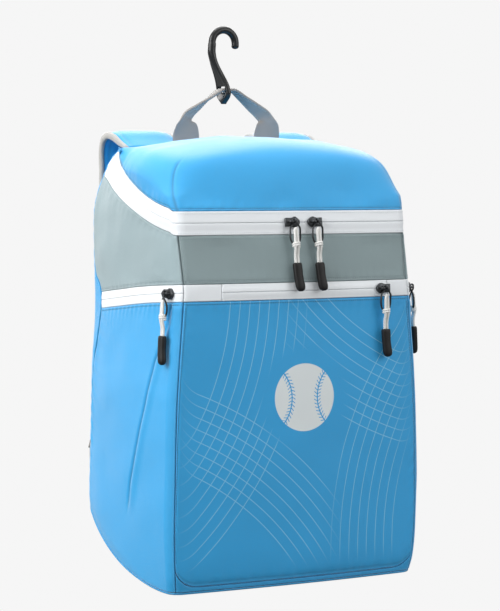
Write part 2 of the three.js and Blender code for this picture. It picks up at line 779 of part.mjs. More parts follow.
// The lid: a wall that rises from the zip, a rounded shoulder, and a crowned top that slopes to the
// front. Its left and right halves meet on a ridge over the bag's middle.
const hingeGap = 1.4;
const lidBack = -shoulderRadius - hingeGap;
const lidFront = -depthAt(mainZipHeight + halfMain);
function lidTop(x, y) {
  const forward = clamp((lidBack - y) / (lidBack - lidFront), 0, 1);
  const across = x / halfWidth(mainZipHeight);
  const crown = lidCrown * (1 - across * across) * Math.min(1, forward / 0.25) ** 0.8;
  return hingeHeight - lidDrop * forward ** 1.3 + crown;
}
const lidProfile = [
  { part: "wall", along: 0 },
  { part: "wall", along: 0.5 },
  ...span(0, 1, 3).map((along) => ({ part: "shoulder", along })),
  ...[0.2, 0.55, 1].map((along) => ({ part: "top", along })),
];
function lidPoint(column, row) {
  const edgeZ = ringHeight(column) + halfMain + seamGap;
  const edge = outline(ringStation(column, edgeZ), edgeZ);
  const frontness = column.share === undefined ? 1 : clamp((column.share - 0.8) / 0.2, 0, 1);
  const room = lidTop(edge.x, edge.y) - edgeZ;
  const radius = Math.min(lidShoulderRadius, Math.max(room, 1));
  const lean = lidLean * frontness;
  const climbed = row.part === "wall" ? row.along : 1;
  const bulge = lidBulge * climbed * clamp(room / lidShoulderRadius - 1, 0, 1);
  const wallTop = edge.clone().add(point(Math.sign(edge.x) * bulge, lean * climbed, 0));
  const ridgeY = Math.max(wallTop.y, lidBack - (lidBack - lidFront) * 0.45);
  const inwards = point(-edge.x, ridgeY - wallTop.y, 0);
  const reach = inwards.length();
  inwards.normalize();
  const turn = row.along * RIGHT_ANGLE;
  const inset = {
    wall: 0,
    shoulder: radius * (1 - Math.cos(turn)),
    top: mix(radius, reach, row.along),
  }[row.part];
  const p = wallTop.addScaledVector(inwards, inset);
  const below = { wall: radius, shoulder: radius * (1 - Math.sin(turn)), top: 0 }[row.part];
  const top = lidTop(p.x, p.y) - below;
  p.z = row.part === "wall" ? mix(edgeZ, Math.max(top, edgeZ), row.along) : Math.max(top, edgeZ);
  if (row.part === "top" && row.along === 1) p.x = 0;
  if (column.share === 0) {
    const turned = clamp(1 - (halfWidth(edgeZ) - Math.abs(p.x)) / backCornerRadius, 0, 1);
    p.y = hingeLine(Math.asin(turned) / RIGHT_ANGLE) - hingeGap;
  }
  return p;
}
function addLid() {
  const normalAt = (column, row) => {
    const z = ringHeight(column) + halfMain + seamGap;
    return row === lidProfile[0] ? outlineNormal(ringStation(column, z), z) : null;
  };
  add("lid", sheet(ringShares, lidProfile, lidPoint, wall, { normalAt, ridge: true }), blueCloth);
}

// Zip pulls. Each hangs from a slider on the zip, at a place and facing a direction.
const bridgeGap = bridgeHeight - bridgeBar;
const bridgeHalf = 1.3;
function sliderGeometry() {
  const nose = flatShape([
    [-sliderLength / 2, -sliderWidth * 0.36],
    [-sliderLength * 0.1, -sliderWidth * 0.36],
    [sliderLength * 0.12, -sliderWidth / 2],
    [sliderLength * 0.3, -sliderWidth * 0.4],
    [sliderLength / 2, -sliderWidth * 0.14],
    [sliderLength / 2, sliderWidth * 0.14],
    [sliderLength * 0.3, sliderWidth * 0.4],
    [sliderLength * 0.12, sliderWidth / 2],
    [-sliderLength * 0.1, sliderWidth * 0.36],
    [-sliderLength / 2, sliderWidth * 0.36],
  ]);
  const body = solidFrom(extruded(nose, sliderThickness));
  const reach = sliderLength * 0.34;
  const arch = flatShape([
    [-reach, -0.5],
    [-reach, bridgeHeight - bridgeBar],
    [-reach + bridgeBar, bridgeHeight],
    [reach - bridgeBar, bridgeHeight],
    [reach, bridgeHeight - bridgeBar],
    [reach, -0.5],
    [reach - bridgeBar, -0.5],
    [reach - bridgeBar, bridgeGap],
    [-reach + bridgeBar, bridgeGap],
    [-reach + bridgeBar, -0.5],
  ]);
  const bridgeWidth = 2 * bridgeHalf;
  const bridge = extruded(arch, bridgeWidth);
  bridge.rotateX(RIGHT_ANGLE);
  bridge.translate(0, bridgeWidth / 2, sliderThickness);
  const whole = body.add(solidFrom(bridge));
  return geometryFrom(whole);
}

// The ring is a long link. Its top passes behind the slider's bridge and back over the front of it;
// its foot lies closer to the cloth. Its middle is the bridge's bar.
const ringFoot = point(0, bridgeGap / 2, -ringLength + ringTop);
function ringGeometry() {
  const around = ringWire / 2 + restGap;
  const over = bridgeHalf + around + 0.3;
  const behind = bridgeBar / 2 + around + 0.2;
  const rail = (ringWidth - ringWire) / 2;
  const half = [
    [0, 0, over],
    [-0.4, behind * 0.75, over * 0.72],
    [-0.9, behind, 0],
    [-1.8, behind * 0.98, -over],
    [-rail * 0.82, behind * 0.8, -ringLength * 0.24],
    [-rail, bridgeGap * 0.45, -ringLength * 0.42],
    [-rail, bridgeGap * 0.48, -ringLength * 0.62],
    [-rail * 0.7, bridgeGap * 0.5, -ringLength * 0.79],
    [0, ringFoot.y, ringFoot.z],
    [rail * 0.7, bridgeGap * 0.5, -ringLength * 0.79],
    [rail, bridgeGap * 0.42, -ringLength * 0.62],
    [rail, bridgeGap * 0.2, -ringLength * 0.42],
    [rail * 0.82, -behind * 0.5, -ringLength * 0.24],
    [1.8, -behind * 0.98, -over],
    [0.9, -behind, 0],
    [0.4, -behind * 0.75, over * 0.72],
  ];
  const loop = new THREE.CatmullRomCurve3(half.map(([x, y, z]) => point(x, y, z)), true);
  return wire(loop.getPoints(24).slice(0, -1), ringWire / 2, 6, true);
}

// The cord is doubled over the ring's foot: in front of it, over and behind, and down to the tip
function cordGeometry() {
  const side = cordDiameter / 2 + 0.2;
  const around = ringWire / 2 + cordDiameter / 2 + pullClearance;
  const twist = cordLength * 0.45;
  const foot = cordLength;
  const route = [
    [side, 0, -foot],
    [side, 0, -twist],
    [side * 0.8, -around * 0.7, -around * 1.3],
    [0, -around, 0],
    [0, -around * 0.7, around * 0.7],
    [0, 0, around],
    [0, around * 0.7, around * 0.7],
    [0, around, 0],
    [-side * 0.8, around * 0.7, -around * 1.3],
    [-side, 0, -twist],
    [-side, 0, -foot],
  ];
  const curve = new THREE.CatmullRomCurve3(route.map(([x, y, z]) => point(x, y, z)));
  return wire(curve.getPoints(22), cordDiameter / 2, 6);
}

function tipGeometry() {
  const rows = [
    { up: 0, grow: 0.8, sway: 0 },
    { up: 0.05, grow: 0.94, sway: 0 },
    { up: 0.35, grow: 0.96, sway: 0 },
    { up: 0.7, grow: 1, sway: 0.12 },
    { up: 0.92, grow: 0.9, sway: 0.2 },
    { up: 1, grow: 0.5, sway: 0.22 },
  ];
  const sections = rows.map((row) => ({
    centre: point(row.sway * tipWidth, 0, -row.up * tipLength),
    wide: point(1, 0, 0),
    thick: point(0, 1, 0),
    halfWidth: (row.grow * tipWidth) / 2,
    halfThickness: (row.grow * tipWidth * 0.72) / 2,
  }));
  return sweep(sections, roundProfile(8));
}

// Each pull lies in its own frame: +X along the zip, -Z down the cloth and +Y into the bag. It leans
// as far as the cloth below it stands out.
const pullReach = ringLength + cordLength + tipLength;
function addPull(name, station, z, faceAlong) {
  const place = outline(station, z);
  const outwards = outlineNormal(station, z).setZ(0).normalize();
  const leans = [0.25, 0.5, 0.75, 1].map((share) => {
    const below = outline(station, z - share * pullReach).sub(place);
    return Math.atan2(below.dot(outwards), share * pullReach);
  });
  const pull = new THREE.Group();
  pull.position.copy(place);
  const heading = Math.atan2(outwards.y, outwards.x) + RIGHT_ANGLE;
  pull.rotation.set(-Math.max(...leans), 0, heading, "ZXY");
  bag.add(pull);

  const slider = add(`${name}_slider`, sliderGeometry(), darkMetal, pull);
  slider.rotation.set(RIGHT_ANGLE, 0, 0);
  slider.scale.x = faceAlong;
  slider.position.y = -pullClearance;

  const barY = -(pullClearance + sliderThickness + bridgeHeight - bridgeBar / 2);
  add(`${name}_ring`, ringGeometry(), darkMetal, pull).position.y = barY;
  const foot = ringFoot.clone().add(point(0, barY, 0));
  add(`${name}_cord`, cordGeometry(), whiteCord, pull).position.copy(foot);
  const tip = add(`${name}_tip`, tipGeometry(), blackRubber, pull);
  tip.position.copy(foot).add(point(0, 0, -cordLength - restGap));
}

function addPulls() {
  const apart = (sliderLength + pullsGap) / 2;
  const onFront = (name, x, z, faceAlong) => addPull(name, frontStationAt(x, z), z, faceAlong);
  onFront("main_left", pullsMiddle - apart, mainZipHeight, 1);
  onFront("main_right", pullsMiddle + apart, mainZipHeight, -1);
  const tabStart = outline(CORNER_LOW, pocketZipHeight).x - rightTabWidth;
  onFront("front", tabStart - sliderLength / 2 + 1, pocketZipHeight, -1);
  for (const [name, side] of Object.entries(sides)) {
    const share = 0.78;
    const z = sideZipAt(share);
    addPull(`side_${name}`, side * sideStation(share, z), z, -side);
  }
}

// The haul handle: flat webbing at its two ends, folded to a grip between them
const handleY = -shoulderRadius + handleSetback;
function shoulderTop(y) {
  const forward = clamp(1 + y / shoulderRadius, 0, 1);
  return shoulderStart + shoulderRadius * Math.sqrt(1 - forward * forward);
}
const handleFoot = shoulderTop(handleY - handleThickness / 2) + restGap;
function handleSections() {
  const half = handleRows.map((row) => {
    const turn = row.turn * RIGHT_ANGLE;
    return {
      centre: point((row.across * handleSpread) / 2, handleY, handleFoot + row.up * handleRise),
      wide: point(Math.cos(turn), -Math.sin(turn), 0),
      halfWidth: mix(handleWebbing, handleGrip, row.fold) / 2,
      halfThickness: mix(handleThickness, gripThickness, row.fold) / 2,
    };
  });
  const mirrored = half.slice(0, -1).map((s) => ({
    ...s,
    centre: point(-s.centre.x, s.centre.y, s.centre.z),
    wide: point(-s.wide.x, s.wide.y, 0),
  }));
  const all = [...half, ...mirrored.reverse()];
  return all.map((s, i) => {
    const ahead = all[Math.min(i + 1, all.length - 1)].centre;
    const behind = all[Math.max(i - 1, 0)].centre;
    const tangent = ahead.clone().sub(behind).normalize();
    const wide = s.wide.clone().addScaledVector(tangent, -s.wide.dot(tangent)).normalize();
    return { ...s, wide, thick: tangent.cross(wide).normalize() };
  });
}

// The fence hook: a round crook across the bag, and a shank that widens to a plate with an eye,
// edge on to the front, so that the handle passes through the eye
const crookRadius = (hookThroat + hookWire) / 2;
const gripTop = handleFoot + handleRise + gripThickness / 2;
const gripBottom = gripTop - gripThickness;
const shankFoot = gripBottom - hookClearance;
const crookHeight = shankFoot + hookShank;
const hangHeight = crookHeight + hookThroat / 2;

function hookGeometry() {
  const toe = hookToe - hookWire;
  const arc = span(0, Math.PI, 10).map((turn) =>
    point(
      hookShift + crookRadius * Math.cos(turn),
      handleY,
      crookHeight + crookRadius * Math.sin(turn),
    ),
  );
  const start = point(hookShift + crookRadius, handleY, crookHeight - toe);
  const below = point(hookShift - crookRadius, handleY, crookHeight - 1);
  const rounded = (z, grow) => ({ z, grow });
  const end = [rounded(-hookWire * 0.36, 0.5), rounded(-hookWire * 0.22, 0.86)].map((r) => ({
    centre: point(start.x, handleY, start.z + r.z),
    wide: point(1, 0, 0),
    thick: point(0, 1, 0),
    halfWidth: (r.grow * hookWire) / 2,
    halfThickness: (r.grow * hookWire) / 2,
  }));
  const forwards = point(0, 1, 0);
  const along = sectionsAlong(
    [start, ...arc, below],
    () => forwards,
    () => hookWire / 2,
    () => hookWire / 2,
  ).map((s) => ({ ...s, wide: s.thick.clone().negate(), thick: s.wide }));
  const crook = sweep([...end, ...along], roundProfile(10));

  const plate = sweep(
    shankRows.map((row) => ({
      centre: point(
        hookShift - row.shift * crookRadius,
        handleY,
        shankFoot + row.up * hookShank,
      ),
      wide: point(1, 0, 0),
      thick: point(0, 1, 0),
      halfWidth: (row.thick * hookPlateThickness) / 2,
      halfThickness: (row.wide * hookPlateWidth) / 2,
    })),
    roundProfile(12),
  );

  const eyeHalf = handleGrip / 2 + hookClearance;
  const eyeHeight = gripThickness + 2 * hookClearance + 2;
  const eye = extruded(
    flatShape([
      [-eyeHalf, 0],
      [eyeHalf, 0],
      [eyeHalf, eyeHeight - 2],
      [eyeHalf - 2, eyeHeight],
      [-eyeHalf + 2, eyeHeight],
      [-eyeHalf, eyeHeight - 2],
    ]),
    2 * hookPlateThickness,
  );
  eye.rotateX(RIGHT_ANGLE);
  eye.rotateZ(RIGHT_ANGLE);
  eye.translate(hookShift - hookPlateThickness, handleY, shankFoot);
  const whole = solidFrom(crook).add(solidFrom(plate)).subtract(solidFrom(eye));
  return geometryFrom(whole);
}

// Shoulder straps
function strapPoint(side, row) {
  return point(
    side * (strapSpacing / 2) * (1 + row.out),
    row.depth * bodyDepth,
    row.up * bodyHeight,
  );
}
const acrossStrap = point(1, 0, 0);

function addStrap(name, side) {
  const centres = strapRows.map((row) => strapPoint(side, row));
  const edge = bindingThickness + seamGap;
  const padHalf = (i) => (strapRows[i].wide * strapWidth) / 2 - edge;
  const padThick = (i) => (strapRows[i].thick * strapThickness) / 2;
  const sections = sectionsAlong(centres, () => acrossStrap, padHalf, padThick);
  add(`strap_pad_${name}`, sweep(sections, barProfile), blueCloth);

  // The binding runs down one edge, round the foot and up the other edge
  const rim = bindingThickness / 2 + seamGap;
  const foot = sections[sections.length - 1];
  const down = foot.centre.clone().sub(sections[sections.length - 2].centre).normalize();
  const edgePoints = (sign) =>
    sections.map((s) => s.centre.clone().addScaledVector(s.wide, sign * (s.halfWidth + rim)));
  const corner = (sign) =>
    foot.centre
      .clone()
      .addScaledVector(foot.wide, sign * (foot.halfWidth - rim))
      .addScaledVector(down, rim);
  const bend = (sign) =>
    foot.centre
      .clone()
      .addScaledVector(foot.wide, sign * (foot.halfWidth + rim * 0.8))
      .addScaledVector(down, rim * 0.8);
  const path = [...edgePoints(1), bend(1), corner(1), corner(-1), bend(-1), ...edgePoints(-1).reverse()];
  const thicks = [
    ...sections.map((s) => s.thick),
    ...Array(4).fill(foot.thick),
    ...sections.map((s) => s.thick).reverse(),
  ];
  const binding = sectionsAlong(
    path,
    (i) => thicks[i],
    (i) => (strapThickness / 2) * (i < 1 || i > path.length - 2 ? 0.5 : 1),
    () => bindingThickness / 2,
  );
  add(`strap_binding_${name}`, sweep(binding, barProfile), greyWebbing);

  // Ladder buckle, lower webbing and the tab that it is sewn to
  const buckle = flatShape([
    [-buckleWidth / 2, -buckleLength / 2],
    [buckleWidth / 2, -buckleLength / 2],
    [buckleWidth / 2, buckleLength / 2],
    [-buckleWidth / 2, buckleLength / 2],
  ]);
  const bar = 3.2;
  const slotHalf = webbingWidth / 2 + 1;
  const slotHeight = (buckleLength - 3 * bar) / 2;
  for (const low of [-buckleLength / 2 + bar, bar / 2]) {
    buckle.holes.push(
      flatShape([
        [-slotHalf, low],
        [slotHalf, low],
        [slotHalf, low + slotHeight],
        [-slotHalf, low + slotHeight],
      ]),
    );
  }
  const footRun = bindingThickness + seamGap + restGap + 0.15 + buckleLength / 2;
  const middle = foot.centre.clone().addScaledVector(down, footRun);
  const outwards = foot.wide.clone().cross(down.clone().negate()).normalize();
  const ladder = add(`strap_buckle_${name}`, extruded(buckle, buckleThickness), blackPlastic);
  ladder.quaternion.setFromRotationMatrix(
    new THREE.Matrix4().makeBasis(foot.wide, down.clone().negate(), outwards),
  );
  ladder.position.copy(middle).addScaledVector(outwards, -buckleThickness / 2);

  // The webbing lies on the buckle's bars and hangs from it
  const webbing = webbingRows.map((row) => strapPoint(side, row));
  const lift = buckleThickness / 2 + webbingThickness / 2 + restGap + 0.1;
  const flat = (run) => middle.clone().addScaledVector(down, run).addScaledVector(outwards, lift);
  webbing.unshift(flat(-buckleLength / 2 + bar), flat(buckleLength / 2 + 2 * bar));
  const webbingSections = sectionsAlong(
    webbing,
    () => acrossStrap,
    () => webbingWidth / 2,
    () => webbingThickness / 2,
  );
  add(`strap_webbing_${name}`, sweep(webbingSections, barProfile), greyWebbing);

  // The tab is a folded triangle that stands out of the seam between side and back
  const end = webbing[webbing.length - 1];
  const tabLow = end.z - anchorHeight;
  const rootAt = (z) => {
    const p = outline(side * (seamStation(z) * 0.5 + 0.5), z);
    return point(p.x, p.y + restGap + 1, z);
  };
  const tabTop = end.z - webbingThickness;
  const tabSections = span(0, 1, 4).map((t) => {
    const z = mix(tabLow, tabTop, t);
    const root = rootAt(Math.max(z, heelHeight * 0.75));
    const reach = anchorReach * Math.sin(Math.PI * mix(0.12, 0.62, t));
    const tipPoint = point(mix(root.x, end.x, 0.5), root.y + reach, z);
    const wide = tipPoint.clone().sub(root);
    const length = wide.length();
    wide.normalize();
    return {
      centre: root.clone().lerp(tipPoint, 0.5),
      wide,
      thick: point(-wide.y, wide.x, 0).normalize(),
      halfWidth: length / 2,
      halfThickness: webbingThickness,
    };
  });
  add(`strap_tab_${name}`, sweep(tabSections, barProfile), greyWebbing);
}

// Assembly
addBasePanel();
addBackPanel();
for (const [name, side] of Object.entries(sides)) addSidePanels(name, side);
addFrontPanels();
addMainZip();
addLid();
addPulls();
add("haul_handle", sweep(handleSections(), barProfile), greyWebbing);
add("fence_hook", hookGeometry(), blackPlastic);
for (const [name, side] of Object.entries(sides)) addStrap(name, side);

bag.position.set(-hookShift, -handleY, -hangHeight);
const backpack = new THREE.Group();
backpack.add(bag);

export default backpack;
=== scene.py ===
import math

import bmesh
import bpy
import numpy as np
from mathutils import Matrix, Vector, noise


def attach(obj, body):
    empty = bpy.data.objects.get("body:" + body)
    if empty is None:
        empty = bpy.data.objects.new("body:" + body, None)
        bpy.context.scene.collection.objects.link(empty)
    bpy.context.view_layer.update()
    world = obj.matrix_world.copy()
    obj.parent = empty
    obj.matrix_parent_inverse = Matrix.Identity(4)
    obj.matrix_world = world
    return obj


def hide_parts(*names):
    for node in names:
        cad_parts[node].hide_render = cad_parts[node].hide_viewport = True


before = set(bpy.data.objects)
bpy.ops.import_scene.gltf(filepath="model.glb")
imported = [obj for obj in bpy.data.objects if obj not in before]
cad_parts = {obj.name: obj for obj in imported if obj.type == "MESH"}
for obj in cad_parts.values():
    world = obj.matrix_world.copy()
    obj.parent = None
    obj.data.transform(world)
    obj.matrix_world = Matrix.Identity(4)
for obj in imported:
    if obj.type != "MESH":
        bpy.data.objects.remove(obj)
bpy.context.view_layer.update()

# Sizes of the body
BODY_WIDTH = 336.0
BODY_DEPTH = 244.0
BODY_HEIGHT = 524.0
HINGE_HEIGHT = 513.0
WALL = 2.4
BACK_PAD = 9.0
SEAM = 0.45
REST = 0.25
FRONT_RADIUS = 15.0
BACK_RADIUS = 24.0
SHOULDER_RADIUS = 75.0
SHOULDER_START = HINGE_HEIGHT - SHOULDER_RADIUS
HEEL_HEIGHT = 102.0
HEEL_LENGTH = 215.0
HEEL_ROUNDNESS = 1.7
SIDE_BULGE = 5.0
FRONT_BULGE = 6.0
POCKET_LIP = 8.0
POCKET_RADIUS = 26.0

# Sizes of the zips
MAIN_ZIP = 425.0
MAIN_CLIMB = 71.0
HALF_MAIN = 13.5
POCKET_ZIP = 346.0
SIDE_DROP = 17.0
HALF_POCKET = 9.5
TAPE = 1.8
LEFT_TAB = 46.0
RIGHT_TAB = 30.0

# Sizes of the lid
LID_DROP = 17.0
LID_CROWN = 18.0
LID_BULGE = 3.0
LID_RADIUS = 24.0
LID_LEAN = 17.0
HINGE_GAP = 1.4

# Sizes of the zip pulls
SLIDER_LENGTH = 19.0
SLIDER_WIDTH = 13.0
SLIDER_THICKNESS = 4.0
BRIDGE_HEIGHT = 5.2
BRIDGE_BAR = 1.8
BRIDGE_HALF = 1.3
BRIDGE_GAP = BRIDGE_HEIGHT - BRIDGE_BAR
RING_LENGTH = 31.0
RING_WIDTH = 15.0
RING_WIRE = 2.2
RING_TOP = 3.0
CORD = 3.3
CORD_LENGTH = 20.0
TIP_LENGTH = 33.0
TIP_WIDTH = 11.5
PULL_CLEARANCE = 0.6
PULLS_MIDDLE = 7.0
PULLS_GAP = 11.0
PULLS_APART = (SLIDER_LENGTH + PULLS_GAP) / 2
SIDE_PULL_SHARE = 0.78

# Sizes of the haul handle and the hook
HANDLE_WEBBING = 36.0
HANDLE_GRIP = 19.0
HANDLE_THICKNESS = 2.2
GRIP_THICKNESS = 3.8
HANDLE_SPREAD = 112.0
HANDLE_RISE = 73.0
HANDLE_Y = -58.0
HOOK_WIRE = 9.3
HOOK_THROAT = 22.8
HOOK_SHIFT = -4.0
HOOK_SHANK = 60.9
HOOK_PLATE = 30.0
HOOK_THICKNESS = 8.4
HOOK_TOE = 13.0
HOOK_CLEARANCE = 0.9
EYE_CORNER = 1.6

# Sizes of the shoulder straps
STRAP_WIDTH = 84.0
STRAP_THICKNESS = 12.0
STRAP_SPACING = 196.0
BINDING = 3.0
WEBBING_WIDTH = 25.0
WEBBING = 2.0
BUCKLE_LENGTH = 26.0
BUCKLE_THICKNESS = 5.0
BUCKLE_BAR = 3.2
ANCHOR_HEIGHT = 74.0
ANCHOR_REACH = 30.0
TAB_OVERLAP = 12.0


def table(columns, *rows):
    return {name: np.array(values, float) for name, values in zip(columns.split(), zip(*rows))}


OUTLINE = table(
    "at half depth spread",
    (0, 0.97, 0.96, 0),
    (0.04, 0.99, 0.98, 0),
    (0.12, 1.004, 0.991, 0),
    (0.24, 1.002, 0.998, 0),
    (0.42, 0.988, 1, 0),
    (0.64, 0.937, 0.995, 0.02),
    (0.68, 0.93, 0.99, 0.03),
    (0.79, 0.923, 0.952, 0.042),
    (0.84, 0.925, 0.94, 0.035),
    (0.92, 0.915, 0.91, 0.005),
    (1, 0.905, 0.88, 0),
)
SEAMS = table(
    "at seam",
    (0, 1.1),
    (0.15, 1.26),
    (0.22, 1.53),
    (0.32, 1.76),
    (0.44, 1.93),
    (0.54, 2.05),
    (0.66, 2.07),
    (0.74, 1.8),
    (0.84, 1.82),
    (1, 2),
)
CLIMBS = table(
    "at climb drop",
    (0, 0, 0),
    (0.15, 0.05, 0.05),
    (0.3, 0.19, 0.16),
    (0.5, 0.45, 0.36),
    (0.7, 0.71, 0.62),
    (0.85, 0.89, 0.81),
    (1, 1, 1),
)
HANDLE = table(
    "across up turn fold",
    (1, 0, 0, 0),
    (1, 0.24, 0, 0.02),
    (1, 0.41, 0.08, 0.35),
    (0.97, 0.53, 0.24, 0.95),
    (0.86, 0.62, 0.34, 1),
    (0.66, 0.73, 0.5, 1),
    (0.4, 0.875, 0.8, 1),
    (0.17, 0.996, 1, 1),
    (0, 1, 1, 1),
)
SHANK = table(
    "up shift thick wide",
    (1, 1, 1.22, 0.347),
    (0.8, 1.02, 1.18, 0.36),
    (0.58, 0.8, 1.06, 0.44),
    (0.36, 0.42, 1.02, 0.6),
    (0.17, 0.12, 1, 0.86),
    (0.02, 0, 1, 1),
    (-0.07, 0, 1, 0.94),
    (-0.17, 0, 0.96, 0.5),
    (-0.23, 0, 0.8, 0.14),
)
STRAP = table(
    "depth up out wide thick",
    (-0.2213, 0.9801, -0.02, 0.97, 0.45),
    (-0.165, 0.9905, -0.01, 0.99, 0.75),
    (-0.1, 1.004, 0, 1, 1),
    (-0.03, 1.009, 0, 1, 1),
    (0.028, 0.998, 0, 1, 1),
    (0.058, 0.97, 0, 0.98, 1),
    (0.066, 0.925, 0, 0.95, 1),
    (0.086, 0.86, 0, 0.91, 1),
    (0.118, 0.765, 0.01, 0.86, 1),
    (0.142, 0.668, 0.02, 0.8, 1),
    (0.142, 0.575, 0.05, 0.73, 1),
    (0.125, 0.505, 0.09, 0.64, 0.85),
)
LOWER_WEBBING = table(
    "depth up out",
    (0.114, 0.4, 0.19),
    (0.1, 0.335, 0.32),
    (0.086, 0.285, 0.41),
)

# The front runs from -FRONT_END to FRONT_END, and the ring round the zip from -RING_END to RING_END
CORNER_REACH = 0.35
FRONT_END = 1 + CORNER_REACH
RING_END = 1 + FRONT_END
# In front of this share of the side, counted from the back, the main and side zips lie level
CLIMB_END = 0.94
CORNER_LOW = 3.65
CORNER_HIGH = 3.42
RIGHT_ANGLE = math.pi / 2


# Small helpers
def mix(a, b, t):
    return a + (b - a) * t


def smooth(low, high, value):
    t = np.clip((value - low) / (high - low), 0, 1)
    return t * t * (3 - 2 * t)


def bump(value, centre, width):
    return np.exp(-(((value - centre) / width) ** 2))


def unit(vectors):
    return vectors / np.maximum(np.linalg.norm(vectors, axis=-1, keepdims=True), 1e-9)


def squared(waves, power):
    """A sine or cosine pushed towards its ends, so that a round section becomes a square one."""
    return np.sign(waves) * np.abs(waves) ** power


def run_along(points):
    """How far each point lies along a line."""
    return np.concatenate([[0], np.cumsum(np.linalg.norm(np.diff(points, axis=0), axis=1))])


def join(*columns):
    """One array of points from their separate coordinates."""
    return np.stack(columns, axis=-1)


def full_turn(count):
    return np.linspace(0, 2 * math.pi, count, endpoint=False)


def section(count, x_power, y_power):
    """The outline of a squared-off section, from -1 to 1 both ways."""
    turn = full_turn(count)
    return squared(np.cos(turn), x_power), squared(np.sin(turn), y_power)


def side_of(values):
    """-1 on the left and 1 on the right."""
    return np.where(values < 0, -1.0, 1.0)


def points_at(at, run, points):
    """The points that lie at given distances along a line."""
    return np.stack([np.interp(at, run, points[:, k]) for k in range(points.shape[1])], axis=-1)


def vec(x, y, z):
    return np.array([x, y, z], float)


def column_at(rows, column, share):
    at, value = rows["at"], rows[column]
    share = np.asarray(share, float)
    last = len(at) - 1
    i = np.clip(np.searchsorted(at, share) - 1, 0, last - 1)
    step = at[i + 1] - at[i]
    t = np.clip((share - at[i]) / step, 0, 1)

    def slope(j, k):
        return (value[k] - value[j]) / (at[k] - at[j])

    start = slope(np.maximum(i - 1, 0), i + 1) * step
    end = slope(i, np.minimum(i + 2, last)) * step
    t2, t3 = t * t, t * t * t
    return (
        (2 * t3 - 3 * t2 + 1) * value[i]
        + (t3 - 2 * t2 + t) * start
        + (3 * t2 - 2 * t3) * value[i + 1]
        + (t3 - t2) * end
    )


# The bag's outline, as in the part: station 0 is the middle of the back, 1 to 2 the back corner,
# 2 to 3 the side, 3 to 4 the front corner and 5 the middle of the front. The left is negative.
def half_width(z):
    return BODY_WIDTH / 2 * column_at(OUTLINE, "half", z / BODY_HEIGHT)


def depth_at(z):
    return BODY_DEPTH * column_at(OUTLINE, "depth", z / BODY_HEIGHT)


def back_line(z):
    above = np.clip((z - SHOULDER_START) / SHOULDER_RADIUS, 0, 1)
    return SHOULDER_RADIUS * (np.sqrt(1 - above * above) - 1)


def outline(station, z):
    station, z = np.broadcast_arrays(np.asarray(station, float), np.asarray(z, float))
    side = side_of(station)
    s = np.abs(station)
    half = half_width(z)
    back_half = half + BODY_WIDTH / 2 * column_at(OUTLINE, "spread", z / BODY_HEIGHT)
    front, back = -depth_at(z), back_line(z)
    turn_back = np.clip(s - 1, 0, 1) * RIGHT_ANGLE
    turn_front = np.clip(s - 3, 0, 1) * RIGHT_ANGLE
    along = np.clip(s - 2, 0, 1)
    across = np.clip(5 - s, 0, 1)
    bulge = SIDE_BULGE * 4 * along * (1 - along)
    parts = [s <= 1, s <= 2, s <= 3, s <= 4]
    x = np.select(
        parts,
        [
            (back_half - BACK_RADIUS) * s,
            back_half - BACK_RADIUS * (1 - np.sin(turn_back)),
            mix(back_half, half, along) + bulge,
            half - FRONT_RADIUS * (1 - np.cos(turn_front)),
        ],
        (half - FRONT_RADIUS) * across,
    )
    y = np.select(
        parts,
        [
            back,
            back - BACK_RADIUS * (1 - np.cos(turn_back)),
            mix(back - BACK_RADIUS, front + FRONT_RADIUS, along),
            front + FRONT_RADIUS * (1 - np.sin(turn_front)),
        ],
        front - FRONT_BULGE * (1 - across * across),
    )
    return join(side * x, y, z)


def outline_normal(station, z):
    s = abs(station)
    along = outline(min(s + 0.01, 5), z) - outline(max(s - 0.01, 0), z)
    up = outline(s, min(z + 1, HINGE_HEIGHT)) - outline(s, z - 1)
    normal = unit(np.cross(up, along))
    return normal * vec(-1, 1, 1) if station < 0 else normal


def corner_seam(z):
    return mix(CORNER_LOW, CORNER_HIGH, np.clip((z - POCKET_ZIP) / (MAIN_ZIP - POCKET_ZIP), 0, 1))


def seam_station(z):
    return column_at(SEAMS, "seam", z / BODY_HEIGHT)


def side_station(share, z):
    return np.where(
        share < 0.8,
        mix(seam_station(z), 3, share / 0.8),
        mix(3, corner_seam(z), (share - 0.8) / 0.2),
    )


# Across the front, from the left corner's seam to the right one's
def front_station(across, z):
    side = side_of(across)
    a = np.abs(across)
    seam = corner_seam(z) + SEAM / FRONT_RADIUS
    return side * np.where(a <= 1, 5 - a, mix(4, seam, (a - 1) / CORNER_REACH))


def front_across(x, z):
    return x / (half_width(z) - FRONT_RADIUS)


# Round the zip, from the left back seam to the right one
def ring_share(around):
    return np.clip(RING_END - np.abs(around), 0, 1)


def ring_station(around, z):
    side = side_of(around)
    a = np.abs(around)
    front = np.where(a <= 1, 5 - a, mix(4, corner_seam(z), (a - 1) / CORNER_REACH))
    return side * np.where(a <= FRONT_END, front, side_station(ring_share(around), z))


def backwards(share):
    return np.clip(1 - share / CLIMB_END, 0, 1)


def main_zip_at(share):
    return MAIN_ZIP + MAIN_CLIMB * column_at(CLIMBS, "climb", backwards(share))


def side_zip_at(share):
    return POCKET_ZIP - SIDE_DROP * column_at(CLIMBS, "drop", backwards(share))


def base_height(y):
    along = np.clip((y + HEEL_LENGTH) / HEEL_LENGTH, 0, 1)
    return HEEL_HEIGHT * (1 - (1 - along**HEEL_ROUNDNESS) ** (1 / HEEL_ROUNDNESS))


def base_edge(station_at, like):
    z = np.zeros_like(like)
    for _ in range(12):
        z = mix(z, base_height(outline(station_at(z), z)[..., 1]), 0.7)
    return z


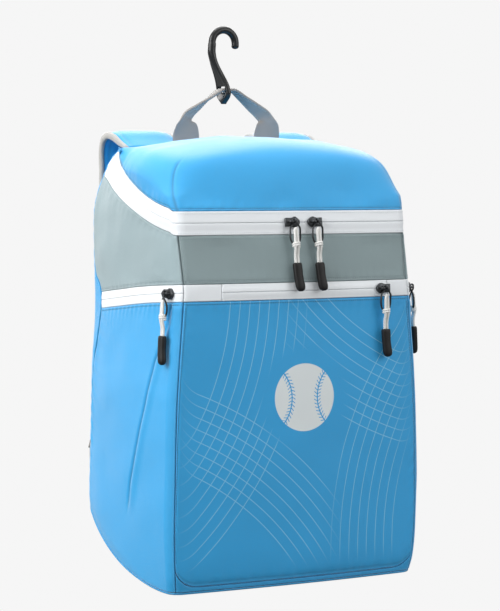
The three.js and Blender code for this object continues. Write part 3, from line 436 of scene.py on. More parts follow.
def foot_height(station_at, like):
    z = base_edge(station_at, like)
    y = outline(station_at(z), z)[..., 1]
    slope = base_height(y + 1) - base_height(y)
    return np.minimum(HEEL_HEIGHT, z + WALL * np.hypot(1, slope)) + SEAM


def pocket_edge(across):
    seam_x = abs(outline(CORNER_LOW, 0)[0])
    x = np.abs(outline(front_station(across, np.zeros_like(across)), 0 * across)[..., 0])
    rest = POCKET_RADIUS - np.clip(seam_x - x, 0, POCKET_RADIUS)
    return POCKET_LIP + POCKET_RADIUS - np.sqrt(POCKET_RADIUS**2 - rest * rest)


def shoulder_top(y):
    forward = np.clip(1 + y / SHOULDER_RADIUS, 0, 1)
    return SHOULDER_START + SHOULDER_RADIUS * np.sqrt(1 - forward * forward)


HANDLE_FOOT = shoulder_top(HANDLE_Y - HANDLE_THICKNESS / 2) + REST
SHANK_FOOT = HANDLE_FOOT + HANDLE_RISE - GRIP_THICKNESS / 2 - HOOK_CLEARANCE
CROOK_RADIUS = (HOOK_THROAT + HOOK_WIRE) / 2
CROOK_HEIGHT = SHANK_FOOT + HOOK_SHANK
HANG_HEIGHT = CROOK_HEIGHT + HOOK_THROAT / 2


def to_frame(points):
    return (np.asarray(points, float) + vec(-HOOK_SHIFT, -HANDLE_Y, -HANG_HEIGHT)) / 1000


# Materials
class Nodes:
    """A tree of nodes, made one call at a time."""

    def __init__(self, tree):
        self.tree = tree

    def node(self, kind, inputs=None, **settings):
        made = self.tree.nodes.new(kind)
        for key, value in settings.items():
            setattr(made, key, value)
        for key, value in (inputs or {}).items():
            self.put(made.inputs[key], value)
        return made

    def put(self, socket, value):
        if isinstance(value, bpy.types.NodeSocket):
            self.tree.links.new(value, socket)
        else:
            socket.default_value = value


class Shader(Nodes):
    """A material's nodes."""

    def __init__(self, name):
        self.material = bpy.data.materials.new(name)
        self.material.use_nodes = True
        super().__init__(self.material.node_tree)
        self.bsdf = self.tree.nodes["Principled BSDF"]

    def math(self, operation, *values):
        made = self.node("ShaderNodeMath", operation=operation)
        for socket, value in zip(made.inputs, values):
            self.put(socket, value)
        return made.outputs[0]

    def times(self, a, b):
        return self.math("MULTIPLY", a, b)

    def plus(self, a, b):
        return self.math("ADD", a, b)

    def less(self, a, b):
        return self.math("SUBTRACT", a, b)

    def size_of(self, value):
        return self.math("ABSOLUTE", value)

    def noise(self, vector, scale, detail=3.0, roughness=0.5):
        inputs = {"Vector": vector, "Scale": scale, "Detail": detail, "Roughness": roughness}
        return self.node("ShaderNodeTexNoise", inputs).outputs["Fac"]

    def blend(self, factor, a, b, mode="MIX"):
        made = self.node("ShaderNodeMix", data_type="RGBA", blend_type=mode)
        colours = [socket for socket in made.inputs if socket.type == "RGBA"]
        self.put(made.inputs["Factor"], factor)
        self.put(colours[0], a)
        self.put(colours[1], b)
        return [socket for socket in made.outputs if socket.type == "RGBA"][0]

    def rescale(self, value, low, high):
        inputs = {"Value": value, "To Min": low, "To Max": high}
        return self.node("ShaderNodeMapRange", inputs).outputs[0]

    def step(self, value, low, high):
        """0 below low, 1 above high, or the reverse where low is the greater."""
        inputs = {"Value": value, "From Min": low, "From Max": high}
        return self.node("ShaderNodeMapRange", inputs, interpolation_type="SMOOTHSTEP").outputs[0]

    def attribute(self, name):
        return self.node("ShaderNodeAttribute", attribute_name=name).outputs["Fac"]

    def uv(self):
        return self.node("ShaderNodeUVMap", uv_map="cut").outputs["UV"]

    def place(self):
        return self.node("ShaderNodeTexCoord").outputs["Object"]

    def relief(self, height, strength, distance, below=None):
        inputs = {"Height": height, "Strength": strength, "Distance": distance}
        if below is not None:
            inputs["Normal"] = below
        return self.node("ShaderNodeBump", inputs).outputs[0]

    def surface(self, **values):
        for key, value in values.items():
            self.put(self.bsdf.inputs[key.replace("_", " ")], value)
        return self.material


def rgb(r, g, b):
    """A colour as it looks on screen, 0 to 255, as the shader wants it."""
    return tuple(mix(0, 1, (v / 255 + 0.055) / 1.055) ** 2.4 for v in (r, g, b)) + (1.0,)


def scaled(colour, share):
    return tuple(min(v * share, 1) for v in colour[:3]) + (1.0,)


def woven(name, colour, pitch=0.55, roughness=0.62, sheen=0.6, weave=0.35, variety=0.07, decorate=None):
    """Coated cloth: a plain weave over its cut, mottled colour, painted shade in its seams and grooves, and
    paler ridges: wear along the rolled seams and a painted highlight over the lid's top.
    """
    s = Shader(name)
    cut, place = s.uv(), s.place()
    parts = s.node("ShaderNodeSeparateXYZ", {"Vector": cut})
    turns = 2 * math.pi * 100 / pitch
    warp = s.math("SINE", s.times(parts.outputs[0], turns))
    weft = s.math("SINE", s.times(parts.outputs[1], turns))
    threads = s.times(warp, weft)
    grain = s.noise(place, 900.0, 2.0, 0.7)
    cloud = s.noise(place, 14.0, 3.0, 0.55)
    slub = s.noise(place, 240.0, 3.0, 0.6)
    tone = s.plus(s.times(cloud, 0.6), s.times(slub, 0.4))
    base = s.blend(s.rescale(tone, 0.0, 1.0), scaled(colour, 1 - variety), scaled(colour, 1 + variety))
    if decorate:
        base = decorate(s, parts.outputs[0], parts.outputs[1], base)
    # Paler ridges: wear along the rolled seams, and a painted highlight over the lid's shoulder and top
    wear_and_highlight = s.times(s.attribute("ridge"), s.rescale(grain, 0.1, 0.5))
    pale = tuple(mix(value, 1.0, 0.35) for value in colour[:3]) + (1.0,)
    base = s.blend(wear_and_highlight, base, pale)
    base = s.blend(s.attribute("shade"), base, scaled(colour, 0.3))
    height = s.plus(s.times(threads, 0.5), s.times(grain, 0.8))
    normal = s.relief(height, weave, 0.0002)
    normal = s.relief(s.noise(place, 60.0, 3.0, 0.55), 0.12, 0.0015, normal)
    return s.surface(
        Base_Color=base,
        Roughness=s.rescale(slub, roughness - 0.06, roughness + 0.08),
        Normal=normal,
        Specular_IOR_Level=0.8,
        Sheen_Weight=sheen,
        Sheen_Roughness=0.35,
    )


def webbing(name, colour, across=1.6, along=1.1, variety=0.1):
    """Woven webbing: ribs across its width and lengthwise cords, with a little fuzz."""
    s = Shader(name)
    cut, place = s.uv(), s.place()
    parts = s.node("ShaderNodeSeparateXYZ", {"Vector": cut})
    ribs = s.math("SINE", s.times(parts.outputs[1], 2 * math.pi * 100 / along))
    cords = s.math("SINE", s.times(parts.outputs[0], 2 * math.pi * 100 / across))
    threads = s.plus(s.times(ribs, 0.6), s.times(cords, 0.4))
    grain = s.noise(place, 700.0, 3.0, 0.7)
    cloud = s.noise(place, 30.0, 3.0, 0.5)
    base = s.blend(s.rescale(cloud, 0.0, 1.0), scaled(colour, 1 - variety), scaled(colour, 1 + variety))
    base = s.blend(s.rescale(threads, 0.0, 0.22), base, scaled(colour, 0.72))
    base = s.blend(s.attribute("shade"), base, scaled(colour, 0.4))
    height = s.plus(threads, s.times(grain, 0.7))
    return s.surface(
        Base_Color=base,
        Roughness=s.rescale(grain, 0.7, 0.9),
        Normal=s.relief(height, 0.5, 0.0003),
        Sheen_Weight=0.3,
        Sheen_Roughness=0.5,
    )


def moulded(name, colour, roughness, gloss=0.5, grain_size=420.0, metal=0.0, coat=0.0, depth=0.25):
    """Moulded plastic, rubber or coated metal: fine grain, uneven gloss, and paler sharp edges, partly wear
    and partly a painted highlight.
    """
    s = Shader(name)
    place = s.place()
    grain = s.noise(place, grain_size, 4.0, 0.6)
    cloud = s.noise(place, 40.0, 3.0, 0.5)
    edge = s.node("ShaderNodeNewGeometry").outputs["Pointiness"]
    # Sharp edges are paler: partly wear, partly a painted highlight
    edge_wear_and_highlight = s.times(s.step(edge, 0.53, 0.62), 0.45)
    base = s.blend(s.rescale(cloud, 0.0, 1.0), scaled(colour, 0.85), scaled(colour, 1.2))
    base = s.blend(edge_wear_and_highlight, base, scaled(colour, 2.6))
    return s.surface(
        Base_Color=base,
        Roughness=s.rescale(grain, roughness - 0.06, roughness + 0.1),
        Normal=s.relief(grain, depth, 0.0001),
        Metallic=metal,
        Specular_IOR_Level=gloss,
        Coat_Weight=coat,
        Coat_Roughness=0.2,
    )


def braided(name, colour):
    """A braided cord: strands that cross as they run along it."""
    s = Shader(name)
    parts = s.node("ShaderNodeSeparateXYZ", {"Vector": s.uv()})
    one = s.times(s.plus(parts.outputs[1], parts.outputs[0]), 420.0)
    two = s.times(s.less(parts.outputs[1], parts.outputs[0]), 420.0)
    strands = s.times(s.math("SINE", one), s.math("SINE", two))
    grain = s.noise(s.place(), 900.0, 3.0, 0.7)
    base = s.blend(s.rescale(strands, 0.0, 0.3), colour, scaled(colour, 0.78))
    return s.surface(
        Base_Color=base,
        Roughness=s.rescale(grain, 0.65, 0.85),
        Normal=s.relief(s.plus(strands, grain), 0.5, 0.0003),
        Sheen_Weight=0.2,
    )


BLUE = rgb(28, 163, 226)
GREY = rgb(146, 167, 172)
# The band's grey is the yoke's grey made darker, a painted shade for the front, which the key light reaches
# less than the sides
SHADED_BAND_GREY = rgb(133, 152, 155)
TAPE_WHITE = rgb(238, 243, 247)
WEBBING_GREY = rgb(160, 154, 149)

# The print on the front pocket, in families of thin arcs: each family's centre from the pocket's
# middle and lower edge, its first radius, its number of lines, and where across it starts and ends
ARCS = table(
    "x y radius lines from_x to_x",
    (-430, 350, 332, 9, -165, 22),
    (-300, -190, 352, 8, -165, 60),
    (430, 40, 296, 8, 20, 165),
    (262, 560, 318, 9, -30, 165),
)
ARC_STEP = 12.5
ARC_FADE = 45
LINE_WIDTH = 0.85
BALL_X = 3.0
BALL_Y = 214.0
BALL_RADIUS = 40.0
BALL_SEAM_X = 62
BALL_SEAM_RADIUS = 45.0


def printed(s, cut_x, cut_y, base):
    """Thin pale arcs that cross, and a plain ball with its two curved seams."""
    x = s.times(cut_x, 100.0)
    y = s.times(cut_y, 100.0)

    def distance(px, py):
        dx = s.less(x, px)
        dy = s.less(y, py)
        return s.math("SQRT", s.plus(s.times(dx, dx), s.times(dy, dy)))

    lines = 0.0
    for i in range(len(ARCS["x"])):
        row = {name: float(values[i]) for name, values in ARCS.items()}
        r = s.math("DIVIDE", s.less(distance(row["x"], row["y"]), row["radius"]), ARC_STEP)
        off = s.size_of(s.less(s.math("FRACT", r), 0.5))
        line = s.step(off, LINE_WIDTH / ARC_STEP * 0.75, LINE_WIDTH / ARC_STEP * 0.35)
        inside = s.times(s.step(r, 0.0, 0.02), s.step(r, row["lines"], row["lines"] - 0.02))
        from_x, to_x = row["from_x"], row["to_x"]
        fade = s.times(s.step(x, from_x, from_x + ARC_FADE), s.step(x, to_x, to_x - ARC_FADE))
        fade = s.times(fade, s.step(y, 10.0, 40.0))
        one = s.times(s.times(line, inside), fade)
        lines = s.math("MAXIMUM", lines, one)
    ball = distance(BALL_X, BALL_Y)
    lines = s.times(lines, s.step(ball, BALL_RADIUS + 12, BALL_RADIUS + 30))
    base = s.blend(s.times(lines, 0.75), base, rgb(138, 208, 240))

    disc = s.step(ball, BALL_RADIUS, BALL_RADIUS - 0.8)
    seams = 0.0
    for side in (-1, 1):
        arc = s.less(distance(BALL_X + side * BALL_SEAM_X, BALL_Y), BALL_SEAM_RADIUS)
        line = s.step(s.size_of(arc), 1.0, 0.5)
        turn = s.math("ARCTAN2", s.less(y, BALL_Y), s.less(x, BALL_X + side * BALL_SEAM_X))
        slanted = s.plus(s.times(turn, 68.0), s.times(s.size_of(arc), 0.9))
        tick = s.step(s.math("SINE", slanted), 0.55, 0.8)
        tick = s.times(tick, s.step(s.size_of(arc), 4.6, 4.2))
        seams = s.math("MAXIMUM", seams, s.math("MAXIMUM", line, tick))
    mark = s.times(disc, s.less(1.0, seams))
    return s.blend(mark, base, rgb(228, 236, 238))


blue_cloth = woven("blue_cloth", BLUE)
printed_cloth = woven("printed_cloth", BLUE, decorate=printed)
grey_cloth = woven("grey_cloth", GREY, sheen=0.45)
# The front band's cloth uses the darker grey, its painted shade
band_cloth_painted_shade = woven("band_cloth_painted_shade", SHADED_BAND_GREY, sheen=0.3)
tape_cloth = woven("zip_tape", TAPE_WHITE, pitch=0.9, roughness=0.45, sheen=0.05, weave=0.15, variety=0.02)
thread_blue = woven("blue_thread", scaled(BLUE, 0.42), roughness=0.5, sheen=0.1)
thread_grey = woven("grey_thread", scaled(GREY, 1.15), roughness=0.5)
thread_white = woven("white_thread", rgb(205, 212, 218), roughness=0.5)
grey_webbing = webbing("grey_webbing", WEBBING_GREY)
pale_binding = webbing("binding", rgb(186, 184, 180), across=1.2, along=0.8)
cord_white = braided("white_cord", rgb(240, 240, 237))
rubber = moulded("black_rubber", rgb(21, 20, 20), 0.5, gloss=0.35, grain_size=600.0)
plastic = moulded("black_plastic", rgb(22, 23, 23), 0.3, gloss=0.4, coat=0.15, grain_size=300.0, depth=0.1)
metal = moulded("dark_metal", rgb(62, 64, 66), 0.28, metal=0.85, grain_size=500.0, depth=0.15)


# Meshes
def make_object(name, points, faces, material, cut=None, marks=None):
    mesh = bpy.data.meshes.new(name)
    mesh.from_pydata(to_frame(points).tolist(), [], faces)
    mesh.materials.append(material)
    for key, values in (marks or {}).items():
        layer = mesh.attributes.new(key, "FLOAT", "POINT")
        layer.data.foreach_set("value", np.asarray(values, float).ravel())
    if cut is None:
        cut = np.asarray(points)[:, [0, 2]] / 100
    corners = np.empty(len(mesh.loops), dtype=np.int32)
    mesh.loops.foreach_get("vertex_index", corners)
    mesh.uv_layers.new(name="cut").data.foreach_set("uv", np.asarray(cut, float)[corners].ravel())
    work = bmesh.new()
    work.from_mesh(mesh)
    bmesh.ops.recalc_face_normals(work, faces=work.faces)
    work.to_mesh(mesh)
    work.free()
    mesh.polygons.foreach_set("use_smooth", [True] * len(mesh.polygons))
    made = bpy.data.objects.new(name, mesh)
    bpy.context.scene.collection.objects.link(made)
    return made


def settle(piece, slot, *nodes):
    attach(piece, "root")
    if nodes:
        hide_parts(*nodes)
    return piece


def fractal(points, size, seed, detail=2):
    shift = Vector((seed * 7.31, seed * 3.17, seed * 5.77))
    flat = np.asarray(points).reshape(-1, 3) / size
    values = [noise.fractal(Vector(p) + shift, 1.0, 2.0, detail) for p in flat]
    return np.array(values).reshape(np.asarray(points).shape[:-1])


EDGE_MARKS = np.array([0, 0.35, 0.8, 1.4, 2.1, 3.0, 4.0, 5.2])
SEAM_REACH = 0.2
SAMPLES = 240


def spread_marks(line, params, spacing):
    """Parameters along a line: close together at its two ends and evenly spaced between."""
    lengths = run_along(line)
    total = lengths[-1]
    marks = EDGE_MARKS * min(1.0, total / 24)
    count = max(int((total - 2 * marks[-1]) / spacing), 2)
    inner = np.linspace(marks[-1], total - marks[-1], count + 1)
    places = np.concatenate([marks[:-1], inner, total - marks[:-1][::-1]])
    return np.interp(places, lengths, params)


class Sheet:
    """A sewn piece of cloth on a grid: where it lies, which way it faces and how far its edges are."""

    def __init__(self, at, u_range, v_range, spacing, inside=(0, -115, 240)):
        u_all = np.linspace(*u_range, SAMPLES)
        v_all = np.linspace(*v_range, SAMPLES)
        u = spread_marks(at(u_all, np.full(SAMPLES, np.mean(v_range))), u_all, spacing)
        v = spread_marks(at(np.full(SAMPLES, np.mean(u_range)), v_all), v_all, spacing)
        self.grid_u, self.grid_v = np.meshgrid(u, v, indexing="ij")
        self.base = at(self.grid_u, self.grid_v)
        along = np.gradient(self.base, axis=0)
        up = np.gradient(self.base, axis=1)
        normal = unit(np.cross(along, up))
        if np.sum(normal * (self.base - vec(*inside))) < 0:
            normal = -normal
        self.normal = normal

        def lengths(axis):
            steps = np.linalg.norm(np.diff(self.base, axis=axis), axis=2)
            start = np.zeros_like(np.take(steps, [0], axis=axis))
            return np.concatenate([start, np.cumsum(steps, axis=axis)], axis=axis)

        across, height = lengths(0), lengths(1)
        self.across, self.height = across, height
        self.edges = {
            "left": across,
            "right": across[-1:, :] - across,
            "low": height,
            "high": height[:, -1:] - height,
        }
        self.nearest = np.minimum.reduce(list(self.edges.values()))
        self.raised = np.zeros_like(self.nearest)
        self.shade = np.zeros_like(self.nearest)
        self.ridge = np.zeros_like(self.nearest)

    def roll_edges(self, radius=1.1, only=("left", "right", "low", "high")):
        for name in only:
            d = np.clip(1 - self.edges[name] / radius, 0, 1)
            self.raised -= radius * (1 - np.sqrt(1 - 0.98 * d * d))
            self.shade = np.maximum(self.shade, 0.45 * smooth(0.9, 0.0, self.edges[name]))
            self.ridge = np.maximum(self.ridge, 0.3 * bump(self.edges[name], 1.7, 0.7))

    def pucker(self, edge, size=11.0, height=0.35, seed=1, reach=9.0):
        run = self.across if edge in ("low", "high") else self.height
        wave = np.sin(run / size * 2 * math.pi + 3 * fractal(self.base, 45, seed))
        self.raised += height * wave * np.exp(-self.edges[edge] / reach) * smooth(0, 2.5, self.edges[edge])

    def groove(self, edge, offset, depth=0.35, width=0.8):
        dip = bump(self.edges[edge], offset, width)
        self.raised -= depth * dip
        self.shade = np.maximum(self.shade, 0.35 * dip)

    def wrinkle(self, size, height, seed, detail=2):
        fade = smooth(0, 14, self.nearest)
        self.raised += height * fade * fractal(self.base, size, seed, detail)

    def points(self):
        return self.base + self.normal * self.raised[..., None]

    def line(self, edge, offset, trim=(0.0, 0.0)):
        """Points and normals on the finished face, a constant distance from one of its edges."""
        outer, distance = self.points(), self.edges[edge]
        if edge in ("left", "right"):
            outer, distance, normal = outer.swapaxes(0, 1), distance.T, self.normal.swapaxes(0, 1)
        else:
            normal = self.normal
        order = 1 if edge in ("left", "low") else -1
        points, normals = [], []
        for p, d, n in zip(outer, distance, normal):
            d, p, n = d[::order], p[::order], n[::order]
            points.append([np.interp(offset, d, p[:, k]) for k in range(3)])
            normals.append([np.interp(offset, d, n[:, k]) for k in range(3)])
        points, normals = np.array(points), unit(np.array(normals))
        run = run_along(points)
        keep = (run >= trim[0]) & (run <= run[-1] - trim[1])
        return points[keep], normals[keep]

    def build(self, name, material, thickness, slot, *nodes, joined_high=False):
        outer = self.points()
        inner = self.base - self.normal * thickness
        # The rolled edges reach most of the way to the next piece, so that no light falls between
        for here, next_in in ((0, 1), (-1, -2)):
            for rows in ((here, next_in), (np.s_[:, here], np.s_[:, next_in])):
                if joined_high and rows == (np.s_[:, -1], np.s_[:, -2]):
                    continue
                outwards = unit(self.base[rows[0]] - self.base[rows[1]]) * SEAM_REACH
                outer[rows[0]] += outwards
                inner[rows[0]] += outwards
        nu, nv = outer.shape[:2]
        total = nu * nv
        ids = np.arange(total).reshape(nu, nv)
        quads = np.stack([ids[:-1, :-1], ids[1:, :-1], ids[1:, 1:], ids[:-1, 1:]], axis=-1).reshape(-1, 4)
        faces = quads.tolist() + (quads[:, ::-1] + total).tolist()
        rim = np.concatenate([ids[:, 0], ids[-1, 1:], ids[-2::-1, -1], ids[0, -2:0:-1]])
        ahead = np.roll(rim, -1)
        if joined_high:
            walled = ~((rim % nv == nv - 1) & (ahead % nv == nv - 1))
            rim, ahead = rim[walled], ahead[walled]
        faces += join(rim, rim + total, ahead + total, ahead).tolist()
        points = np.concatenate([outer.reshape(-1, 3), inner.reshape(-1, 3)])
        middle = self.across[-1:, :] / 2
        cut = join(self.across - middle, self.height).reshape(-1, 2) / 100
        marks = {
            "shade": np.concatenate([self.shade.ravel(), np.zeros(total)]),
            "ridge": np.concatenate([self.ridge.ravel(), np.zeros(total)]),
        }
        piece = make_object(name, points, faces, material, np.concatenate([cut, cut]), marks)
        return settle(piece, slot, *nodes)


def loft(rings, loop=False):
    """Faces of a tube through rings of points, closed at both ends unless it is a loop."""
    n, m = rings.shape[:2]
    ids = np.arange(n * m).reshape(n, m)
    ahead = np.roll(ids, -1, axis=0) if loop else ids[1:]
    here = ids if loop else ids[:-1]
    quads = join(here, np.roll(here, -1, axis=1), np.roll(ahead, -1, axis=1), ahead)
    faces = quads.reshape(-1, 4).tolist()
    if not loop:
        faces += [ids[0, ::-1].tolist(), ids[-1].tolist()]
    return faces


def curve_through(points, count, loop=False):
    """Evenly spaced points on a smooth curve through the given ones."""
    points = np.asarray(points, float)
    n = len(points)
    made = []
    for i in range(n if loop else n - 1):
        if loop:
            a, b, c, d = (points[(i + k) % n] for k in (-1, 0, 1, 2))
        else:
            a, b, c, d = (points[min(max(i + k, 0), n - 1)] for k in (-1, 0, 1, 2))
        t = np.linspace(0, 1, 24, endpoint=False)[:, None]
        made.append(
            0.5 * (2 * b + (c - a) * t + (2 * a - 5 * b + 4 * c - d) * t**2 + (3 * b - a - 3 * c + d) * t**3)
        )
    fine = np.concatenate(made + [points[:1] if loop else points[-1:]])
    run = run_along(fine)
    at = np.linspace(0, run[-1], count, endpoint=not loop)
    return points_at(at, run, fine)


def tangents_of(points, loop=False):
    if loop:
        return unit(np.roll(points, -1, axis=0) - np.roll(points, 1, axis=0))
    return unit(np.gradient(points, axis=0))


def steady_frames(points, loop=False, hint=(1, 0.2, 0.1)):
    tangents = tangents_of(points, loop)
    wide = np.array(hint, float)
    wides = []
    for tangent in tangents:
        wide = unit(wide - tangent * np.dot(wide, tangent))
        wides.append(wide)
    wides = np.array(wides)
    if loop:
        back = unit(wides[-1] - tangents[0] * np.dot(wides[-1], tangents[0]))
        angle = math.atan2(np.dot(np.cross(back, wides[0]), tangents[0]), np.dot(back, wides[0]))
        turn = angle * np.arange(len(points))[:, None] / len(points)
        wides = wides * np.cos(turn) + np.cross(tangents, wides) * np.sin(turn)
    return wides, np.cross(tangents, wides)


def wire(points, radius, sides=12, loop=False):
    """A round wire: its rings of points, with rounded ends where it has ends."""
    points = np.asarray(points, float)
    radii = np.full(len(points), float(radius)) if np.isscalar(radius) else np.asarray(radius, float)
    wides, thicks = steady_frames(points, loop)
    if not loop:
        tangents = tangents_of(points)
        ends = [(0.35, 0.93), (0.75, 0.66), (0.97, 0.25)]
        head = [(points[0] - tangents[0] * radii[0] * out, radii[0] * size, 0) for out, size in ends[::-1]]
        tail = [(points[-1] + tangents[-1] * radii[-1] * out, radii[-1] * size, -1) for out, size in ends]
        rows = head + [(p, r, i) for i, (p, r) in enumerate(zip(points, radii))] + tail
        points = np.array([row[0] for row in rows])
        radii = np.array([row[1] for row in rows])
        wides = np.array([wides[row[2]] for row in rows])
        thicks = np.array([thicks[row[2]] for row in rows])
    turn = full_turn(sides)
    ring = np.cos(turn)[None, :, None] * wides[:, None, :] + np.sin(turn)[None, :, None] * thicks[:, None, :]
    return points[:, None, :] + radii[:, None, None] * ring


def ring_cut(rings):
    """A cut map for a tube: round it and along it."""
    run = run_along(rings.mean(axis=1))
    rounds = np.linalg.norm(rings - np.roll(rings, 1, axis=1), axis=2)
    around = np.cumsum(rounds, axis=1)
    return np.stack([around, np.broadcast_to(run[:, None], around.shape)], axis=-1).reshape(-1, 2) / 100


def tube_object(name, rings, material, loop=False, marks=None):
    zeros = np.zeros(rings.shape[0] * rings.shape[1])
    marks = {"shade": zeros, "ridge": zeros, **(marks or {})}
    return make_object(name, rings.reshape(-1, 3), loft(rings, loop), material, ring_cut(rings), marks)


def tube_piece(name, rings, material, slot, *nodes, **settings):
    return settle(tube_object(name, rings, material, **settings), slot, *nodes)


class Gathered:
    """Many small closed bodies that make one piece, such as stitches."""

    def __init__(self):
        self.points, self.faces, self.cut = [], [], []
        self.count = 0

    def add(self, points, faces, cut=None):
        points = np.asarray(points, float).reshape(-1, 3)
        self.points.append(points)
        self.cut.append(points[:, [0, 2]] / 100 if cut is None else cut)
        self.faces += [[i + self.count for i in face] for face in faces]
        self.count += len(points)

    def stitches(self, line, pitch=3.1, length=2.3, width=0.62, height=0.42, lift=0.12):
        points, normals = line
        run = run_along(points)
        if run[-1] < 2 * pitch:
            return
        at = np.arange(pitch / 2, run[-1] - pitch / 2, pitch)
        centres = points_at(at, run, points)
        ups = unit(points_at(at, run, normals))
        along = unit(points_at(at + 0.5, run, points) - centres)
        across = np.cross(ups, along)
        turn = full_turn(5)
        faces = []
        for k in range(5):
            nxt = (k + 1) % 5
            faces += [[0, 1 + nxt, 1 + k], [1 + k, 1 + nxt, 6 + nxt, 6 + k], [6 + k, 6 + nxt, 11]]
        for c, a, b, u in zip(centres, along, across, ups):
            sunk = u * (lift - height * 0.5)
            body = [c - a * length / 2 + sunk]
            for where in (-0.55, 0.55):
                for angle in turn:
                    side = b * math.cos(angle) * width / 2
                    rise = u * (math.sin(angle) * height / 2 + lift)
                    body.append(c + a * where * length / 2 + side + rise)
            body.append(c + a * length / 2 + sunk)
            self.add(body, faces)

    def build(self, name, material, slot, *nodes):
        points = np.concatenate(self.points)
        zeros = np.zeros(len(points))
        marks = {"shade": zeros, "ridge": zeros}
        piece = make_object(name, points, self.faces, material, np.concatenate(self.cut), marks)
        return settle(piece, slot, *nodes)


blue_stitching = Gathered()
grey_stitching = Gathered()
white_stitching = Gathered()


# Body panels
STITCH_LINE = 3.2
UPPER_STITCH_LINE = 2.6


def wall_at(station_of, low, high):
    def at(u, v):
        z = mix(low(u), high(u), v)
        return outline(station_of(u, z), z)

    return at


def tape_parts(half):
    """The two tapes of a zip: name, lowest and highest, measured from the zip's line."""
    return ("lower", -half, -SEAM / 2), ("upper", SEAM / 2, half)


def side_sheet(side, low, high, spacing):
    """A sheet of one side, between two heights that follow the share from back to front."""
    return Sheet(wall_at(lambda share, z: side * side_station(share, z), low, high), (0, 1), (0, 1), spacing)


def side_panel(name, side):
    sheet = side_sheet(
        side,
        lambda share: foot_height(lambda z: side * side_station(share, z), share),
        lambda share: side_zip_at(share) - HALF_POCKET - SEAM,
        2.0,
    )
    sheet.roll_edges()
    sheet.groove("high", STITCH_LINE)
    sheet.pucker("high", seed=11 + side)
    sheet.pucker("left", size=17, height=0.5, seed=13 + side, reach=12)
    sheet.wrinkle(85, 1.9, 21 + side)
    # The slit of the side pocket runs down from the slider and leans back
    y, z = sheet.base[..., 1], sheet.base[..., 2]
    off = y - np.interp(z, SLIT["z"], SLIT["y"])
    foot, head = SLIT["z"][0], SLIT["z"][-1]
    open_part = smooth(foot - 4, foot + 30, z) * smooth(head + 6, head - 4, z)
    sheet.raised -= 3.0 * open_part * bump(off, 0, 2.4)
    sheet.raised += 1.8 * open_part * bump(off, -9, 7)
    sheet.shade = np.maximum(sheet.shade, open_part * bump(off, 0, 1.9))
    blue_stitching.stitches(sheet.line("high", STITCH_LINE, (3, 3)))
    sheet.build(f"side_cloth_{name}", blue_cloth, WALL, "blue_cloth", f"side_panel_{name}")


def side_yoke(name, side):
    sheet = side_sheet(
        side,
        lambda share: side_zip_at(share) + HALF_POCKET + SEAM,
        lambda share: main_zip_at(share) - HALF_MAIN - SEAM,
        3.0,
    )
    sheet.roll_edges()
    sheet.groove("low", STITCH_LINE)
    sheet.pucker("low", seed=31 + side)
    sheet.pucker("high", size=14, seed=33 + side)
    sheet.wrinkle(60, 1.7, 35 + side)
    grey_stitching.stitches(sheet.line("low", STITCH_LINE, (3, 3)))
    grey_stitching.stitches(sheet.line("high", UPPER_STITCH_LINE, (3, 3)))
    sheet.build(f"yoke_cloth_{name}", grey_cloth, WALL, "grey_cloth", f"side_yoke_{name}")


def side_tapes(name, side):
    for part, low, high in tape_parts(HALF_POCKET):
        sheet = side_sheet(
            side,
            lambda share, low=low: side_zip_at(share) + low,
            lambda share, high=high: side_zip_at(share) + high,
            2.6,
        )
        finish_tape(sheet, part)
        node = f"side_zip_{part}_tape_{name}"
        sheet.build(f"side_tape_{part}_{name}", tape_cloth, TAPE, "white_tape", node)


def finish_tape(sheet, part, coil=3.6):
    """A zip's tape: proud over the covered coil, rolled in at the middle and sewn at its outer edge."""
    inner, outer = ("high", "low") if part == "lower" else ("low", "high")
    sheet.roll_edges(0.8)
    sheet.raised += 0.6 * smooth(coil + 3.2, coil + 0.6, sheet.edges[inner])
    sheet.raised -= 0.15 * bump(sheet.edges[inner], coil + 2.6, 0.7)
    sheet.shade = np.maximum(sheet.shade * 0.4, 0.07 * bump(sheet.edges[inner], coil + 2.6, 0.5))
    sheet.pucker(outer, size=9, height=0.18, seed=int(sheet.base[0, 0, 2]) % 17 + 3, reach=5)
    sheet.wrinkle(28, 0.5, int(sheet.base[0, 0, 2]) % 13 + 5)


SLIT = {
    "z": np.array([83, 122, 171, 220, 266, 309, 330.0]),
    "y": np.array([-136, -145, -162, -181, -197, -219, -224.0]),
}


def front_sheet(low, high, spacing, reach=(-FRONT_END, FRONT_END)):
    """A sheet of the front, between two heights, each a number or a function of the place across."""

    def height(value):
        return value if callable(value) else lambda across: np.full_like(across, value)

    return Sheet(wall_at(front_station, height(low), height(high)), reach, (0, 1), spacing)


def hem_top(across):
    edge = pocket_edge(across)
    return np.maximum(edge - SEAM * (1 + 2.5 * (edge - POCKET_LIP) / POCKET_RADIUS), WALL + 3 * SEAM)


